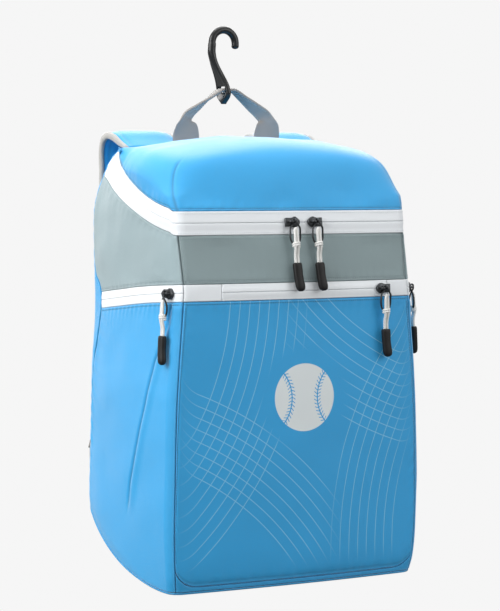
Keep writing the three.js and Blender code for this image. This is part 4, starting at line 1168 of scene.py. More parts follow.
def front_pieces():
    strip = front_sheet(WALL + SEAM, hem_top, 3.0)
    strip.roll_edges(1.0)
    strip.build("front_hem", blue_cloth, WALL, "blue_cloth", "front_base_strip")

    pocket = front_sheet(pocket_edge, POCKET_ZIP - HALF_POCKET - SEAM, 2.6)
    pocket.roll_edges(2.2)
    for edge in ("left", "right", "high"):
        pocket.groove(edge, STITCH_LINE, 0.4)
    pocket.groove("low", 4.5, 0.4, 1.2)
    pocket.pucker("high", seed=41)
    pocket.pucker("low", size=19, height=0.5, seed=42, reach=14)
    pocket.pucker("left", size=15, height=0.4, seed=43)
    pocket.pucker("right", size=15, height=0.4, seed=44)
    pocket.wrinkle(130, 2.0, 45, 1)
    pocket.wrinkle(48, 0.45, 46)
    for edge, trim in (("high", (4, 4)), ("left", (12, 4)), ("right", (12, 4))):
        blue_stitching.stitches(pocket.line(edge, STITCH_LINE, trim))
    pocket.build("front_pocket_cloth", printed_cloth, WALL, "blue_cloth", "front_pocket_panel")

    band = front_sheet(POCKET_ZIP + HALF_POCKET + SEAM, MAIN_ZIP - HALF_MAIN - SEAM, 2.6)
    band.roll_edges()
    for edge in ("left", "right", "low"):
        band.groove(edge, STITCH_LINE)
    band.pucker("low", seed=51)
    band.pucker("high", size=15, seed=52)
    band.wrinkle(70, 1.5, 53)
    for edge in ("low", "high", "left", "right"):
        offset = UPPER_STITCH_LINE if edge == "high" else STITCH_LINE
        grey_stitching.stitches(band.line(edge, offset, (4, 4)))
    # The band's ends sink towards the corner seams
    for edge in ("left", "right"):
        band.raised -= 2.2 * np.exp(-band.edges[edge] / 14)
    band.build("front_band_cloth", band_cloth_painted_shade, WALL, "grey_cloth", "front_band")

    seam_x = outline(CORNER_LOW + SEAM / FRONT_RADIUS, POCKET_ZIP)[0]
    left_end = front_across(-seam_x + LEFT_TAB, POCKET_ZIP)
    right_start = front_across(seam_x - RIGHT_TAB, POCKET_ZIP)
    gap = front_across(SEAM, POCKET_ZIP)
    for side, reach in (("left", (-FRONT_END, left_end)), ("right", (right_start, FRONT_END))):
        tab = front_sheet(POCKET_ZIP - HALF_POCKET, POCKET_ZIP + HALF_POCKET, 2.4, reach)
        tab.roll_edges(1.0)
        tab.wrinkle(30, 0.6, 55)
        tab.build(f"front_tab_{side}", tape_cloth, TAPE, "white_tape", f"front_zip_tab_{side}")
    for part, low, high in tape_parts(HALF_POCKET):
        tape = front_sheet(POCKET_ZIP + low, POCKET_ZIP + high, 2.4, (left_end + gap, right_start - gap))
        finish_tape(tape, part)
        tape.build(f"front_tape_{part}", tape_cloth, TAPE, "white_tape", f"front_zip_{part}_tape")


def base_piece():
    def at(station, share):
        station = np.asarray(station, float)
        z = base_edge(lambda height: station, station)
        edge = outline(station, z)
        made = edge * join(share, np.ones_like(share), np.ones_like(share))
        nearest = 5 - np.abs(share)
        front = outline(np.where(share < 0, -nearest, nearest), 0 * share)
        blend = smooth(3.6, 3.85, station)[..., None]
        return mix(made, front, blend)

    sheet = Sheet(at, (3.85, 1.0), (-1, 1), 4.5, inside=(0, -60, 300))
    sheet.roll_edges(1.4)
    sheet.wrinkle(70, 1.0, 61)
    sheet.build("base_cloth", blue_cloth, WALL, "blue_cloth", "base_panel")


def hinge_line(turned):
    end = main_zip_at(np.zeros(1))[0] + HALF_MAIN + SEAM
    side = outline(2.0, end)[1]
    return mix(-SHOULDER_RADIUS, side, turned**2)


def hinge_top(turned):
    back = hinge_line(turned) + BACK_RADIUS * (1 - np.cos(turned * RIGHT_ANGLE))
    forward = np.minimum(1 + back / SHOULDER_RADIUS, 1)
    return SHOULDER_START + SHOULDER_RADIUS * np.sqrt(1 - forward * forward)


QUILT_HEIGHTS = (150, 240, 330, 420)
QUILT_WIDTH = 2.6
CHANNEL_HALF = 24


def back_piece():
    edge = 1.5 * SEAM / (BACK_RADIUS * RIGHT_ANGLE)

    def turned_of(column):
        return np.maximum(np.abs(column) - 1, 0)

    def station_of(column, z):
        reach = seam_station(z) - edge - 1
        side = side_of(column)
        return np.where(np.abs(column) > 1, side * (1 + reach * turned_of(column)), column)

    sheet = Sheet(
        wall_at(
            station_of,
            lambda column: foot_height(lambda z: station_of(column, z), column),
            lambda column: hinge_top(turned_of(column)),
        ),
        (-2, 2),
        (0, 1),
        4.2,
    )
    sheet.roll_edges(1.2)
    x, z = sheet.base[..., 0], sheet.base[..., 2]
    # Two padded columns and a channel between them, quilted across
    off, above_foot = np.abs(x), smooth(60, 90, z)
    sheet.raised += 0.4 * (smooth(22, 40, off) * smooth(140, 118, off) * above_foot * smooth(470, 440, z))
    for level in QUILT_HEIGHTS:
        reach = smooth(150, 120, off)
        sheet.raised -= bump(z, level, QUILT_WIDTH) * reach
        sheet.shade = np.maximum(sheet.shade, 0.3 * bump(z, level, 1.2) * reach)
    for side in (-1, 1):
        sheet.raised -= bump(x, side * CHANNEL_HALF, QUILT_WIDTH) * above_foot * smooth(480, 450, z)
    sheet.pucker("left", size=16, height=0.5, seed=71)
    sheet.pucker("right", size=16, height=0.5, seed=72)
    sheet.wrinkle(75, 1.3, 73)
    piece = sheet.build("back_cloth", blue_cloth, BACK_PAD, "blue_cloth", "back_panel")


def main_tapes():
    for part, low, high in tape_parts(HALF_MAIN):
        sheet = Sheet(
            wall_at(
                ring_station,
                lambda a, low=low: main_zip_at(ring_share(a)) + low,
                lambda a, high=high: main_zip_at(ring_share(a)) + high,
            ),
            (-RING_END, RING_END),
            (0, 1),
            2.6,
        )
        finish_tape(sheet, part, 4.4)
        outer = "low" if part == "lower" else "high"
        white_stitching.stitches(sheet.line(outer, 2.4, (4, 4)), pitch=2.8, length=1.9, width=0.5)
        sheet.build(f"main_tape_{part}", tape_cloth, TAPE, "white_tape", f"main_zip_{part}_tape")


# The lid
LID_BACK = -SHOULDER_RADIUS - HINGE_GAP
LID_FRONT = -float(depth_at(np.array(MAIN_ZIP + HALF_MAIN)))


def lid_top(x, y):
    forward = np.clip((LID_BACK - y) / (LID_BACK - LID_FRONT), 0, 1)
    across = x / half_width(np.array(MAIN_ZIP))
    crown = LID_CROWN * (1 - across * across) * np.minimum(1, forward / 0.25) ** 0.8
    return HINGE_HEIGHT - LID_DROP * forward**1.3 + crown


def lid_plain(around, rise):
    """The lid's face: rise runs from 0 to 1 up its wall, to 2 over its shoulder, to 3 at the ridge."""
    share = ring_share(around)
    edge_z = main_zip_at(share) + HALF_MAIN + SEAM
    edge = outline(ring_station(around, edge_z), edge_z)
    # The lean fades over half of the side, so that the cloth doesn't fold back on itself at the corner
    frontness = np.where(np.abs(around) <= FRONT_END, 1.0, np.clip((share - 0.5) / 0.5, 0, 1))
    room = lid_top(edge[..., 0], edge[..., 1]) - edge_z
    radius = np.minimum(LID_RADIUS, np.maximum(room, 1))
    wall_part, over, top_part = (np.clip(rise - k, 0, 1) for k in (0, 1, 2))
    bulge = LID_BULGE * wall_part * np.clip(room / LID_RADIUS - 1, 0, 1)
    x = edge[..., 0] + np.sign(edge[..., 0]) * bulge
    y = edge[..., 1] + LID_LEAN * frontness * wall_part
    ridge_y = np.maximum(y, LID_BACK - (LID_BACK - LID_FRONT) * 0.45)
    reach = np.maximum(np.hypot(x, ridge_y - y), 1e-6)
    inset = radius * (1 - np.cos(over * RIGHT_ANGLE))
    inset = np.where(rise > 2, mix(radius, reach, top_part), inset)
    px = x - x / reach * inset
    py = y + (ridge_y - y) / reach * inset
    below = np.where(rise > 2, 0, radius * (1 - np.sin(over * RIGHT_ANGLE)))
    top = np.maximum(lid_top(px, py) - below, edge_z)
    pz = np.where(rise <= 1, mix(edge_z, top, wall_part), top)
    at_back = share <= 0
    turned = np.clip(1 - (half_width(edge_z) - np.abs(px)) / BACK_RADIUS, 0, 1)
    py = np.where(at_back, hinge_line(np.arcsin(turned) / RIGHT_ANGLE) - HINGE_GAP, py)
    return join(px, py, pz)


LID_CORNER_SHARE = 0.12


def lid_at(around, rise):
    side = side_of(around)
    share = ring_share(around)
    plain = lid_plain(np.where(share < LID_CORNER_SHARE, side * (RING_END - LID_CORNER_SHARE), around), rise)
    back = lid_plain(side * RING_END * np.ones_like(around), rise)
    t = np.clip(1 - share / LID_CORNER_SHARE, 0, 1)[..., None]
    return mix(plain, back, t)


# The rise at which the lid's two halves meet
LID_RIDGE = 2.97
DART = 1.27
EASING_ROUNDS = 150
# Each fold's place across, its lean, its depth and its width
LID_FOLDS = ((-60, 0.5, 1.6, 12), (-18, -0.35, -1.2, 15), (35, 0.3, 1.3, 13), (92, -0.3, -1.1, 12))


def lid_piece():
    sheet = Sheet(lid_at, (-RING_END, RING_END), (0.0, LID_RIDGE), 2.7, inside=(0, -150, 430))
    sheet.edges["high"] = np.full_like(sheet.height, 99.0)
    sheet.nearest = np.minimum.reduce(list(sheet.edges.values()))
    sheet.roll_edges(1.7, only=("left", "right", "low"))
    sheet.groove("low", 3.0)
    sheet.pucker("low", size=13, height=0.4, seed=81)
    x, y = sheet.base[..., 0], sheet.base[..., 1]
    rise = sheet.grid_v
    # A dart closes each front corner
    dart = np.zeros_like(rise)
    for side in (-1, 1):
        off = (sheet.grid_u - side * DART) * 42
        closed = smooth(1.9, 1.5, rise) * bump(off, 0, 1.8)
        dart += 1.3 * closed
        sheet.shade = np.maximum(sheet.shade, 0.5 * closed)
    # Soft folds that fall from the ridge to the front
    for across, lean, depth, wide in LID_FOLDS:
        off = x - across - lean * (y + 190)
        part = smooth(-120, -165, y) * smooth(1.0, 1.6, rise)
        sheet.raised -= depth * part * bump(off, 0, wide)
    # The shoulder and top are made paler, a painted highlight of the light from above
    sheet.ridge = np.maximum(sheet.ridge, 0.8 * smooth(1.5, 2.1, rise))
    sheet.wrinkle(75, 2.4, 83)
    sheet.wrinkle(32, 0.5, 84)
    blue_stitching.stitches(sheet.line("low", 3.0, (4, 4)), width=0.5)
    outer = sheet.points()
    # The front corners are eased, as the load rounds them off
    near = smooth(1.8, 1.45, np.abs(sheet.grid_u)) * smooth(0.45, 1.0, rise) * smooth(2.8, 2.3, rise)
    for _ in range(EASING_ROUNDS):
        middle = outer[1:-1, 1:-1]
        beside = np.stack([outer[:-2, 1:-1], outer[2:, 1:-1], outer[1:-1, :-2], outer[1:-1, 2:]])
        pull_of = 1 / (np.linalg.norm(beside - middle, axis=-1, keepdims=True) + 0.5)
        eased = outer.copy()
        eased[1:-1, 1:-1] = np.sum(beside * pull_of, axis=0) / np.sum(pull_of, axis=0)
        outer = mix(outer, eased, near[..., None])
    outer -= sheet.normal * dart[..., None]
    # The two halves meet along the ridge, point for point, and are joined there
    ridge = (outer[:, -1] + outer[::-1, -1]) / 2
    ridge[:, 0] = 0
    outer[:, -1] = ridge
    sheet.base = outer
    facing = (sheet.normal[:, -1] + sheet.normal[::-1, -1]) / 2
    facing[:, 0] = 0
    sheet.normal[:, -1] = unit(facing)
    sheet.raised[:] = 0
    piece = sheet.build("lid_cloth", blue_cloth, WALL, "blue_cloth", "lid", joined_high=True)
    work = bmesh.new()
    work.from_mesh(piece.data)
    bmesh.ops.remove_doubles(work, verts=work.verts, dist=1e-5)
    bmesh.ops.recalc_face_normals(work, faces=work.faces)
    work.to_mesh(piece.data)
    work.free()


# A welt lies in each seam between back and side, just below the cloth
WELT_RADIUS = 1.3
WELT_DEPTH = 1.6


def back_welt(name, side):
    low = float(base_edge(seam_station, np.zeros(1))[0])
    high = float(main_zip_at(np.zeros(1))[0]) + HALF_MAIN
    points = []
    for z in np.linspace(low + WELT_RADIUS, high - WELT_RADIUS, 160):
        station = side * float(seam_station(np.array(z)))
        points.append(outline(station, z) - outline_normal(station, z) * WELT_DEPTH)
    tube_piece(f"back_welt_{name}", wire(points, WELT_RADIUS, 10), blue_cloth, "blue_cloth")


base_piece()
back_piece()
for side_name, side_sign in (("left", -1), ("right", 1)):
    back_welt(side_name, side_sign)
    side_panel(side_name, side_sign)
    side_yoke(side_name, side_sign)
    side_tapes(side_name, side_sign)
front_pieces()
main_tapes()
lid_piece()


# Zip pulls
def pull_frame(station, z):
    place = outline(station, z)
    outwards = outline_normal(station, z)
    outwards[2] = 0
    outwards = unit(outwards)
    reach = RING_LENGTH + CORD_LENGTH + TIP_LENGTH
    leans = []
    for share in (0.25, 0.5, 0.75, 1):
        below = outline(station, z - share * reach) - place
        leans.append(math.atan2(float(np.dot(below, outwards)), share * reach))
    heading = math.atan2(outwards[1], outwards[0]) + RIGHT_ANGLE
    turn = Matrix.Rotation(heading, 3, "Z") @ Matrix.Rotation(-max(leans), 3, "X")
    turn = np.array(turn)

    def local(points):
        return np.asarray(points, float) @ turn.T + place

    return local


def slider_piece(name, local, face_along):
    half = [
        (-0.5, 0.36),
        (-0.46, 0.4),
        (-0.1, 0.38),
        (0.02, 0.44),
        (0.12, 0.5),
        (0.22, 0.49),
        (0.34, 0.38),
        (0.46, 0.2),
        (0.5, 0.1),
    ]
    outline_points = [(x * SLIDER_LENGTH, y * SLIDER_WIDTH) for x, y in half]
    outline_points += [(x, -y) for x, y in reversed(outline_points)]
    top = SLIDER_THICKNESS
    layers = [(0.0, 0.9), (0.35, 0.985), (top - 0.9, 1.0), (top - 0.3, 0.95), (top, 0.86)]
    rings = np.array([[(x * grow, y * grow, up) for x, y in outline_points] for up, grow in layers])
    gathered = Gathered()

    def place(points):
        p = np.asarray(points, float).reshape(-1, 3).copy()
        p[:, 0] *= face_along
        turned = np.stack([p[:, 0], -p[:, 2], p[:, 1]], axis=-1)
        return local(turned + vec(0, -PULL_CLEARANCE, 0))

    gathered.add(place(rings), loft(rings))
    # The bridge is a rounded strap over the slider
    reach = SLIDER_LENGTH * 0.34
    arch = [
        (-reach + 0.9, 2.0),
        (-reach + 0.9, top + BRIDGE_GAP * 0.7),
        (-reach + 2.2, top + BRIDGE_HEIGHT - 0.9),
        (0, top + BRIDGE_HEIGHT - 0.9),
        (reach - 2.2, top + BRIDGE_HEIGHT - 0.9),
        (reach - 0.9, top + BRIDGE_GAP * 0.7),
        (reach - 0.9, 2.0),
    ]
    path = curve_through([(x, 0, up) for x, up in arch], 26)
    tangents = tangents_of(path)
    thick = np.cross(tangents, vec(0, 1, 0))
    rounded = join(*section(12, 0.6, 0.6))
    rings = (
        path[:, None, :]
        + rounded[None, :, :1] * vec(0, BRIDGE_HALF, 0)
        + rounded[None, :, 1:] * thick[:, None, :] * BRIDGE_BAR / 2
    )
    gathered.add(place(rings), loft(rings))
    gathered.build(f"{name}_slider_body", metal, "dark_metal", f"{name}_slider")


def ring_path():
    around = RING_WIRE / 2 + REST
    over = BRIDGE_HALF + around + 0.3
    behind = BRIDGE_BAR / 2 + around + 0.2
    rail = (RING_WIDTH - RING_WIRE) / 2
    length, gap = RING_LENGTH, BRIDGE_GAP
    return [
        (0, 0, over),
        (-0.4, behind * 0.75, over * 0.72),
        (-0.9, behind, 0),
        (-1.8, behind * 0.98, -over),
        (-rail * 0.82, behind * 0.8, -length * 0.24),
        (-rail, gap * 0.45, -length * 0.42),
        (-rail, gap * 0.48, -length * 0.62),
        (-rail * 0.7, gap * 0.5, -length * 0.79),
        (0, gap / 2, -length + RING_TOP),
        (rail * 0.7, gap * 0.5, -length * 0.79),
        (rail, gap * 0.42, -length * 0.62),
        (rail, gap * 0.2, -length * 0.42),
        (rail * 0.82, -behind * 0.5, -length * 0.24),
        (1.8, -behind * 0.98, -over),
        (0.9, -behind, 0),
        (0.4, -behind * 0.75, over * 0.72),
    ]


def pull(name, station, z, face_along, sway):
    local = pull_frame(station, z)
    slider_piece(name, local, face_along)
    bar_y = -(PULL_CLEARANCE + SLIDER_THICKNESS + BRIDGE_HEIGHT - BRIDGE_BAR / 2)

    path = curve_through(ring_path(), 90, loop=True) + vec(0, bar_y, 0)
    rings = local(wire(path, RING_WIRE / 2, 12, loop=True))
    tube_piece(f"{name}_ring_wire", rings, metal, "dark_metal", f"{name}_ring", loop=True)

    # The cord is doubled: up inside the ring, over a strand's width from its top, and down again
    foot = vec(0, bar_y + BRIDGE_GAP / 2, -RING_LENGTH + RING_TOP)
    side = CORD / 2 + 0.12
    around = RING_WIRE / 2 + CORD / 2 + 0.25
    up = RING_LENGTH - RING_TOP - 9.5
    half = [
        (side, 0, -CORD_LENGTH + 0.4),
        (side, -0.3, -CORD_LENGTH * 0.55),
        (side * 1.05, -around * 0.75, -4),
        (side * 1.1, -around, 0.5),
        (side * 1.0, -around * 0.9, 5),
        (side * 0.95, -around * 0.9, up * 0.6),
        (side * 0.8, -around * 0.9, up * 0.9),
        (0, -around * 0.9, up + 1.6),
    ]
    route = half + [(-x, y, height) for x, y, height in reversed(half[:-1])]
    gathered = Gathered()
    strand = wire(curve_through(route, 90) + foot, CORD / 2, 12)
    gathered.add(local(strand.reshape(-1, 3)), loft(strand), ring_cut(strand))
    # A knot ties both strands to the ring's foot
    turn = np.linspace(0, 2 * math.pi * 2.1, 60)
    knot = np.stack(
        [
            (side + CORD * 0.62) * np.cos(turn),
            -around * 0.42 + (around * 1.02) * np.sin(turn),
            1.0 + 2.6 * (turn / turn[-1] - 0.5) * 2,
        ],
        axis=-1,
    )
    coil = wire(knot + foot, CORD * 0.42, 10)
    gathered.add(local(coil.reshape(-1, 3)), loft(coil), ring_cut(coil))
    gathered.build(f"{name}_cord_loop", cord_white, "white_cord", f"{name}_cord")

    rows = table(
        "up grow sway",
        (0, 0.78, 0),
        (0.015, 0.88, 0),
        (0.06, 0.97, 0),
        (0.2, 0.98, 0.02),
        (0.42, 0.95, 0.04),
        (0.62, 0.97, 0.1),
        (0.8, 1.0, 0.18),
        (0.9, 0.93, 0.21),
        (0.96, 0.74, 0.22),
        (1, 0.36, 0.22),
    )
    rows["at"] = rows["up"]
    at = np.concatenate([[0, 0.015], np.linspace(0.05, 0.9, 16), [0.93, 0.96, 0.985, 1]])
    grow, bend = column_at(rows, "grow", at), column_at(rows, "sway", at)
    ring_x, ring_y = section(20, 0.8, 0.8)
    tip = np.zeros((len(at), 20, 3))
    tip[..., 0] = (bend * TIP_WIDTH * sway)[:, None] + grow[:, None] * ring_x * TIP_WIDTH / 2
    tip[..., 1] = grow[:, None] * ring_y * TIP_WIDTH * 0.36
    tip[..., 2] = (-at * TIP_LENGTH)[:, None]
    tip = local(tip + foot + vec(0, 0, -CORD_LENGTH - REST))
    tube_piece(f"{name}_tip_rubber", tip, rubber, "black_rubber", f"{name}_tip")


def front_pull(name, x, z, face_along, sway=1.0):
    across = front_across(x, np.array(float(z)))
    station = float(front_station(np.array(across), np.array(float(z))))
    pull(name, station, z, face_along, sway)


front_pull("main_left", PULLS_MIDDLE - PULLS_APART, MAIN_ZIP, 1)
front_pull("main_right", PULLS_MIDDLE + PULLS_APART, MAIN_ZIP, -1)
TAB_START = outline(CORNER_LOW, POCKET_ZIP)[0] - RIGHT_TAB
front_pull("front", TAB_START - SLIDER_LENGTH / 2 + 1, POCKET_ZIP, -1)
for side_name, side_sign in (("left", -1), ("right", 1)):
    pull_z = float(side_zip_at(np.array(SIDE_PULL_SHARE)))
    pull_station = side_sign * float(side_station(np.array(SIDE_PULL_SHARE), np.array(pull_z)))
    pull(f"side_{side_name}", pull_station, pull_z, -side_sign, 1.0)


# The haul handle
HANDLE_STEPS = 70
FOOT_STEPS = 40


def handle_piece():
    rows = dict(HANDLE)
    rows["at"] = np.linspace(0, 1, len(HANDLE["up"]))
    half_at = np.linspace(0, 1, HANDLE_STEPS)
    get = {name: column_at(rows, name, half_at) for name in ("across", "up", "turn", "fold")}
    turn = np.clip(get["turn"], 0, 1) * RIGHT_ANGLE
    fold = np.clip(get["fold"], 0, 1)
    sideways, upwards = get["across"] * HANDLE_SPREAD / 2, HANDLE_FOOT + get["up"] * HANDLE_RISE
    centre = join(sideways, np.full(HANDLE_STEPS, HANDLE_Y), upwards)
    wide = join(np.cos(turn), -np.sin(turn), np.zeros(HANDLE_STEPS))
    flip = vec(-1, 1, 1)
    centre = np.concatenate([centre, (centre[:-1] * flip)[::-1]])
    wide = np.concatenate([wide, (wide[:-1] * flip)[::-1]])
    fold = np.concatenate([fold, fold[:-1][::-1]])
    tangents = tangents_of(centre)
    wide = unit(wide - tangents * np.sum(wide * tangents, axis=1, keepdims=True))
    thick = np.cross(tangents, wide)
    half_wide = mix(HANDLE_WEBBING, HANDLE_GRIP, fold) / 2
    half_thick = mix(HANDLE_THICKNESS, GRIP_THICKNESS, fold) / 2
    # Across the webbing: flat faces, rounded edges, and on the grip a groove between its two layers
    t = np.array([-1, -0.985, -0.93, -0.8, -0.6, -0.35, 0, 0.35, 0.6, 0.8, 0.93, 0.985, 1])
    top = np.sqrt(np.clip(1 - np.abs(t) ** 9, 0, 1))
    upper = join(t, top)
    profile = np.concatenate([upper, upper[::-1][1:-1] * (1, -1)])
    rings = np.zeros((len(centre), len(profile), 3))
    for i in range(len(centre)):
        a = profile[:, 0] * half_wide[i]
        b = profile[:, 1] * half_thick[i]
        # The outermost points draw in as the webbing folds
        inset = 0.28 * fold[i] * (np.abs(profile[:, 0]) > 0.999)
        a = a * (1 - inset * 0.12)
        # The webbing cups a little where it starts to fold
        cup = 3.2 * 4 * fold[i] * (1 - fold[i]) * profile[:, 0] ** 2
        rings[i] = centre[i] + a[:, None] * wide[i] + (b - cup)[:, None] * thick[i]
    tube_piece("handle_webbing", rings, grey_webbing, "grey_webbing", "haul_handle")

    # Stitching: along both edges of the grip, and along both edges of the first foot
    def stitch_row(rows, across, face, pitch, width):
        aside = across * half_wide[rows, None] * wide[rows]
        line = centre[rows] + aside + face * half_thick[rows, None] * thick[rows]
        grey_stitching.stitches((line, face * thick[rows]), pitch=pitch, width=width)

    grip = np.where(fold > 0.97)[0]
    for sign in (-1, 1):
        for face in (-1, 1):
            stitch_row(grip, sign * 0.72, face, 3.2, 0.7)
    up_share = (centre[:, 2] - HANDLE_FOOT) / HANDLE_RISE
    foot = np.where((np.arange(len(centre)) < FOOT_STEPS) & (up_share < 0.22))[0]
    for sign in (-1, 1):
        stitch_row(foot, sign * 0.86, -1, 3.0, 0.6)


handle_piece()


# The fence hook
def hook_piece():
    sides = 32
    turn = full_turn(sides)
    cos, sin = np.cos(turn), np.sin(turn)
    arc = np.linspace(0, math.pi, 44)
    toe = HOOK_TOE - HOOK_WIRE
    start = vec(HOOK_SHIFT + CROOK_RADIUS, HANDLE_Y, CROOK_HEIGHT - toe)
    path = [start + vec(0, 0, t) for t in np.linspace(0, toe, 4)[:-1]]
    middle = vec(HOOK_SHIFT, HANDLE_Y, CROOK_HEIGHT)
    path += [middle + vec(CROOK_RADIUS * math.cos(a), 0, CROOK_RADIUS * math.sin(a)) for a in arc]
    path = np.array(path)
    tangents = tangents_of(path)
    forwards = vec(0, 1, 0)
    across = np.cross(tangents, forwards)
    radius = HOOK_WIRE / 2
    rings = []
    for out, size in ((0.95, 0.3), (0.75, 0.66), (0.4, 0.91)):
        circle = cos[:, None] * across[0] + sin[:, None] * forwards
        rings.append(path[0] + vec(0, 0, -radius * out * 0.75) + radius * size * circle)
    for p, a in zip(path, across):
        rings.append(p + radius * (cos[:, None] * a + sin[:, None] * forwards))
    # The shank goes on from the crook's last ring and widens to the plate
    rows = {name: values[::-1] for name, values in SHANK.items()}
    rows["at"] = rows["up"]
    direction = -1.0 if across[-1][0] < 0 else 1.0
    for up in np.concatenate([np.linspace(0.98, 0.05, 48), np.linspace(0.02, -0.23, 22)]):
        shift, thick, wide = (float(column_at(rows, name, up)) for name in ("shift", "thick", "wide"))
        half_x = thick * HOOK_THICKNESS / 2
        half_y = wide * HOOK_PLATE / 2
        # Between round wire and plate the section squares up, and its broad faces sink between rims
        squareness = float(smooth(0.85, 0.3, up)) * float(smooth(-0.23, -0.1, up))
        power = mix(1.0, 0.55, squareness)
        sx, sy = squared(cos, power), squared(sin, power)
        sink = squareness * 0.3 * smooth(0.88, 0.66, np.abs(sy)) * float(smooth(-0.16, -0.02, up))
        centre = vec(HOOK_SHIFT - shift * CROOK_RADIUS, HANDLE_Y, SHANK_FOOT + up * HOOK_SHANK)
        ring = np.zeros((sides, 3))
        ring[:, 0] = direction * sx * half_x * (1 - sink)
        ring[:, 1] = sy * half_y
        rings.append(centre + ring)
    rings = np.array(rings)
    piece = tube_object("hook_moulding", rings, plastic)

    # The eye for the handle, cut through the plate
    half_eye = HANDLE_GRIP / 2 + HOOK_CLEARANCE
    tall = GRIP_THICKNESS + 2 * HOOK_CLEARANCE + 2
    corners = []
    for cy, cz, first in ((1, 1, 0), (-1, 1, 90), (-1, -1, 180), (1, -1, 270)):
        for k in range(5):
            angle = math.radians(first + k * 22.5)
            y = cy * (half_eye - EYE_CORNER) + EYE_CORNER * math.cos(angle)
            corners.append((y, tall / 2 + cz * (tall / 2 - EYE_CORNER) + EYE_CORNER * math.sin(angle)))
    ends = [HOOK_SHIFT + sx * 2 * HOOK_THICKNESS for sx in (-1, 1)]
    slot = np.array([[(x, HANDLE_Y + y, SHANK_FOOT + z) for y, z in corners] for x in ends])
    cutter = make_object("eye_cutter", slot.reshape(-1, 3), loft(slot), plastic)
    cut = piece.modifiers.new("eye", "BOOLEAN")
    cut.operation = "DIFFERENCE"
    cut.solver = "EXACT"
    cut.object = cutter
    apply_modifiers(piece)
    bpy.data.objects.remove(cutter)
    settle(piece, "black_plastic", "fence_hook")


def apply_modifiers(piece):
    graph = bpy.context.evaluated_depsgraph_get()
    graph.update()
    made = bpy.data.meshes.new_from_object(piece.evaluated_get(graph))
    piece.modifiers.clear()
    old = piece.data
    piece.data = made
    bpy.data.meshes.remove(old)


hook_piece()


# Shoulder straps
def strap_points(rows, side):
    """The places in a table of strap shares."""
    x = side * STRAP_SPACING / 2 * (1 + rows["out"])
    return join(x, rows["depth"] * BODY_DEPTH, rows["up"] * BODY_HEIGHT)


# The two shares are made small here, so that they don't count as distance along the strap
STRAP_WEIGHTS = np.array([1, 1, 1, 0.001, 0.001])


def strap_lines(side):
    data = np.concatenate([strap_points(STRAP, side), join(STRAP["wide"], STRAP["thick"])], axis=1)
    fine = curve_through(data * STRAP_WEIGHTS, 120) / STRAP_WEIGHTS
    centre = fine[:, :3]
    tangents = tangents_of(centre)
    wide = np.tile(vec(1, 0, 0), (len(centre), 1))
    wide = unit(wide - tangents * np.sum(wide * tangents, axis=1, keepdims=True))
    return centre, tangents, wide, np.cross(tangents, wide), fine[:, 3], fine[:, 4]


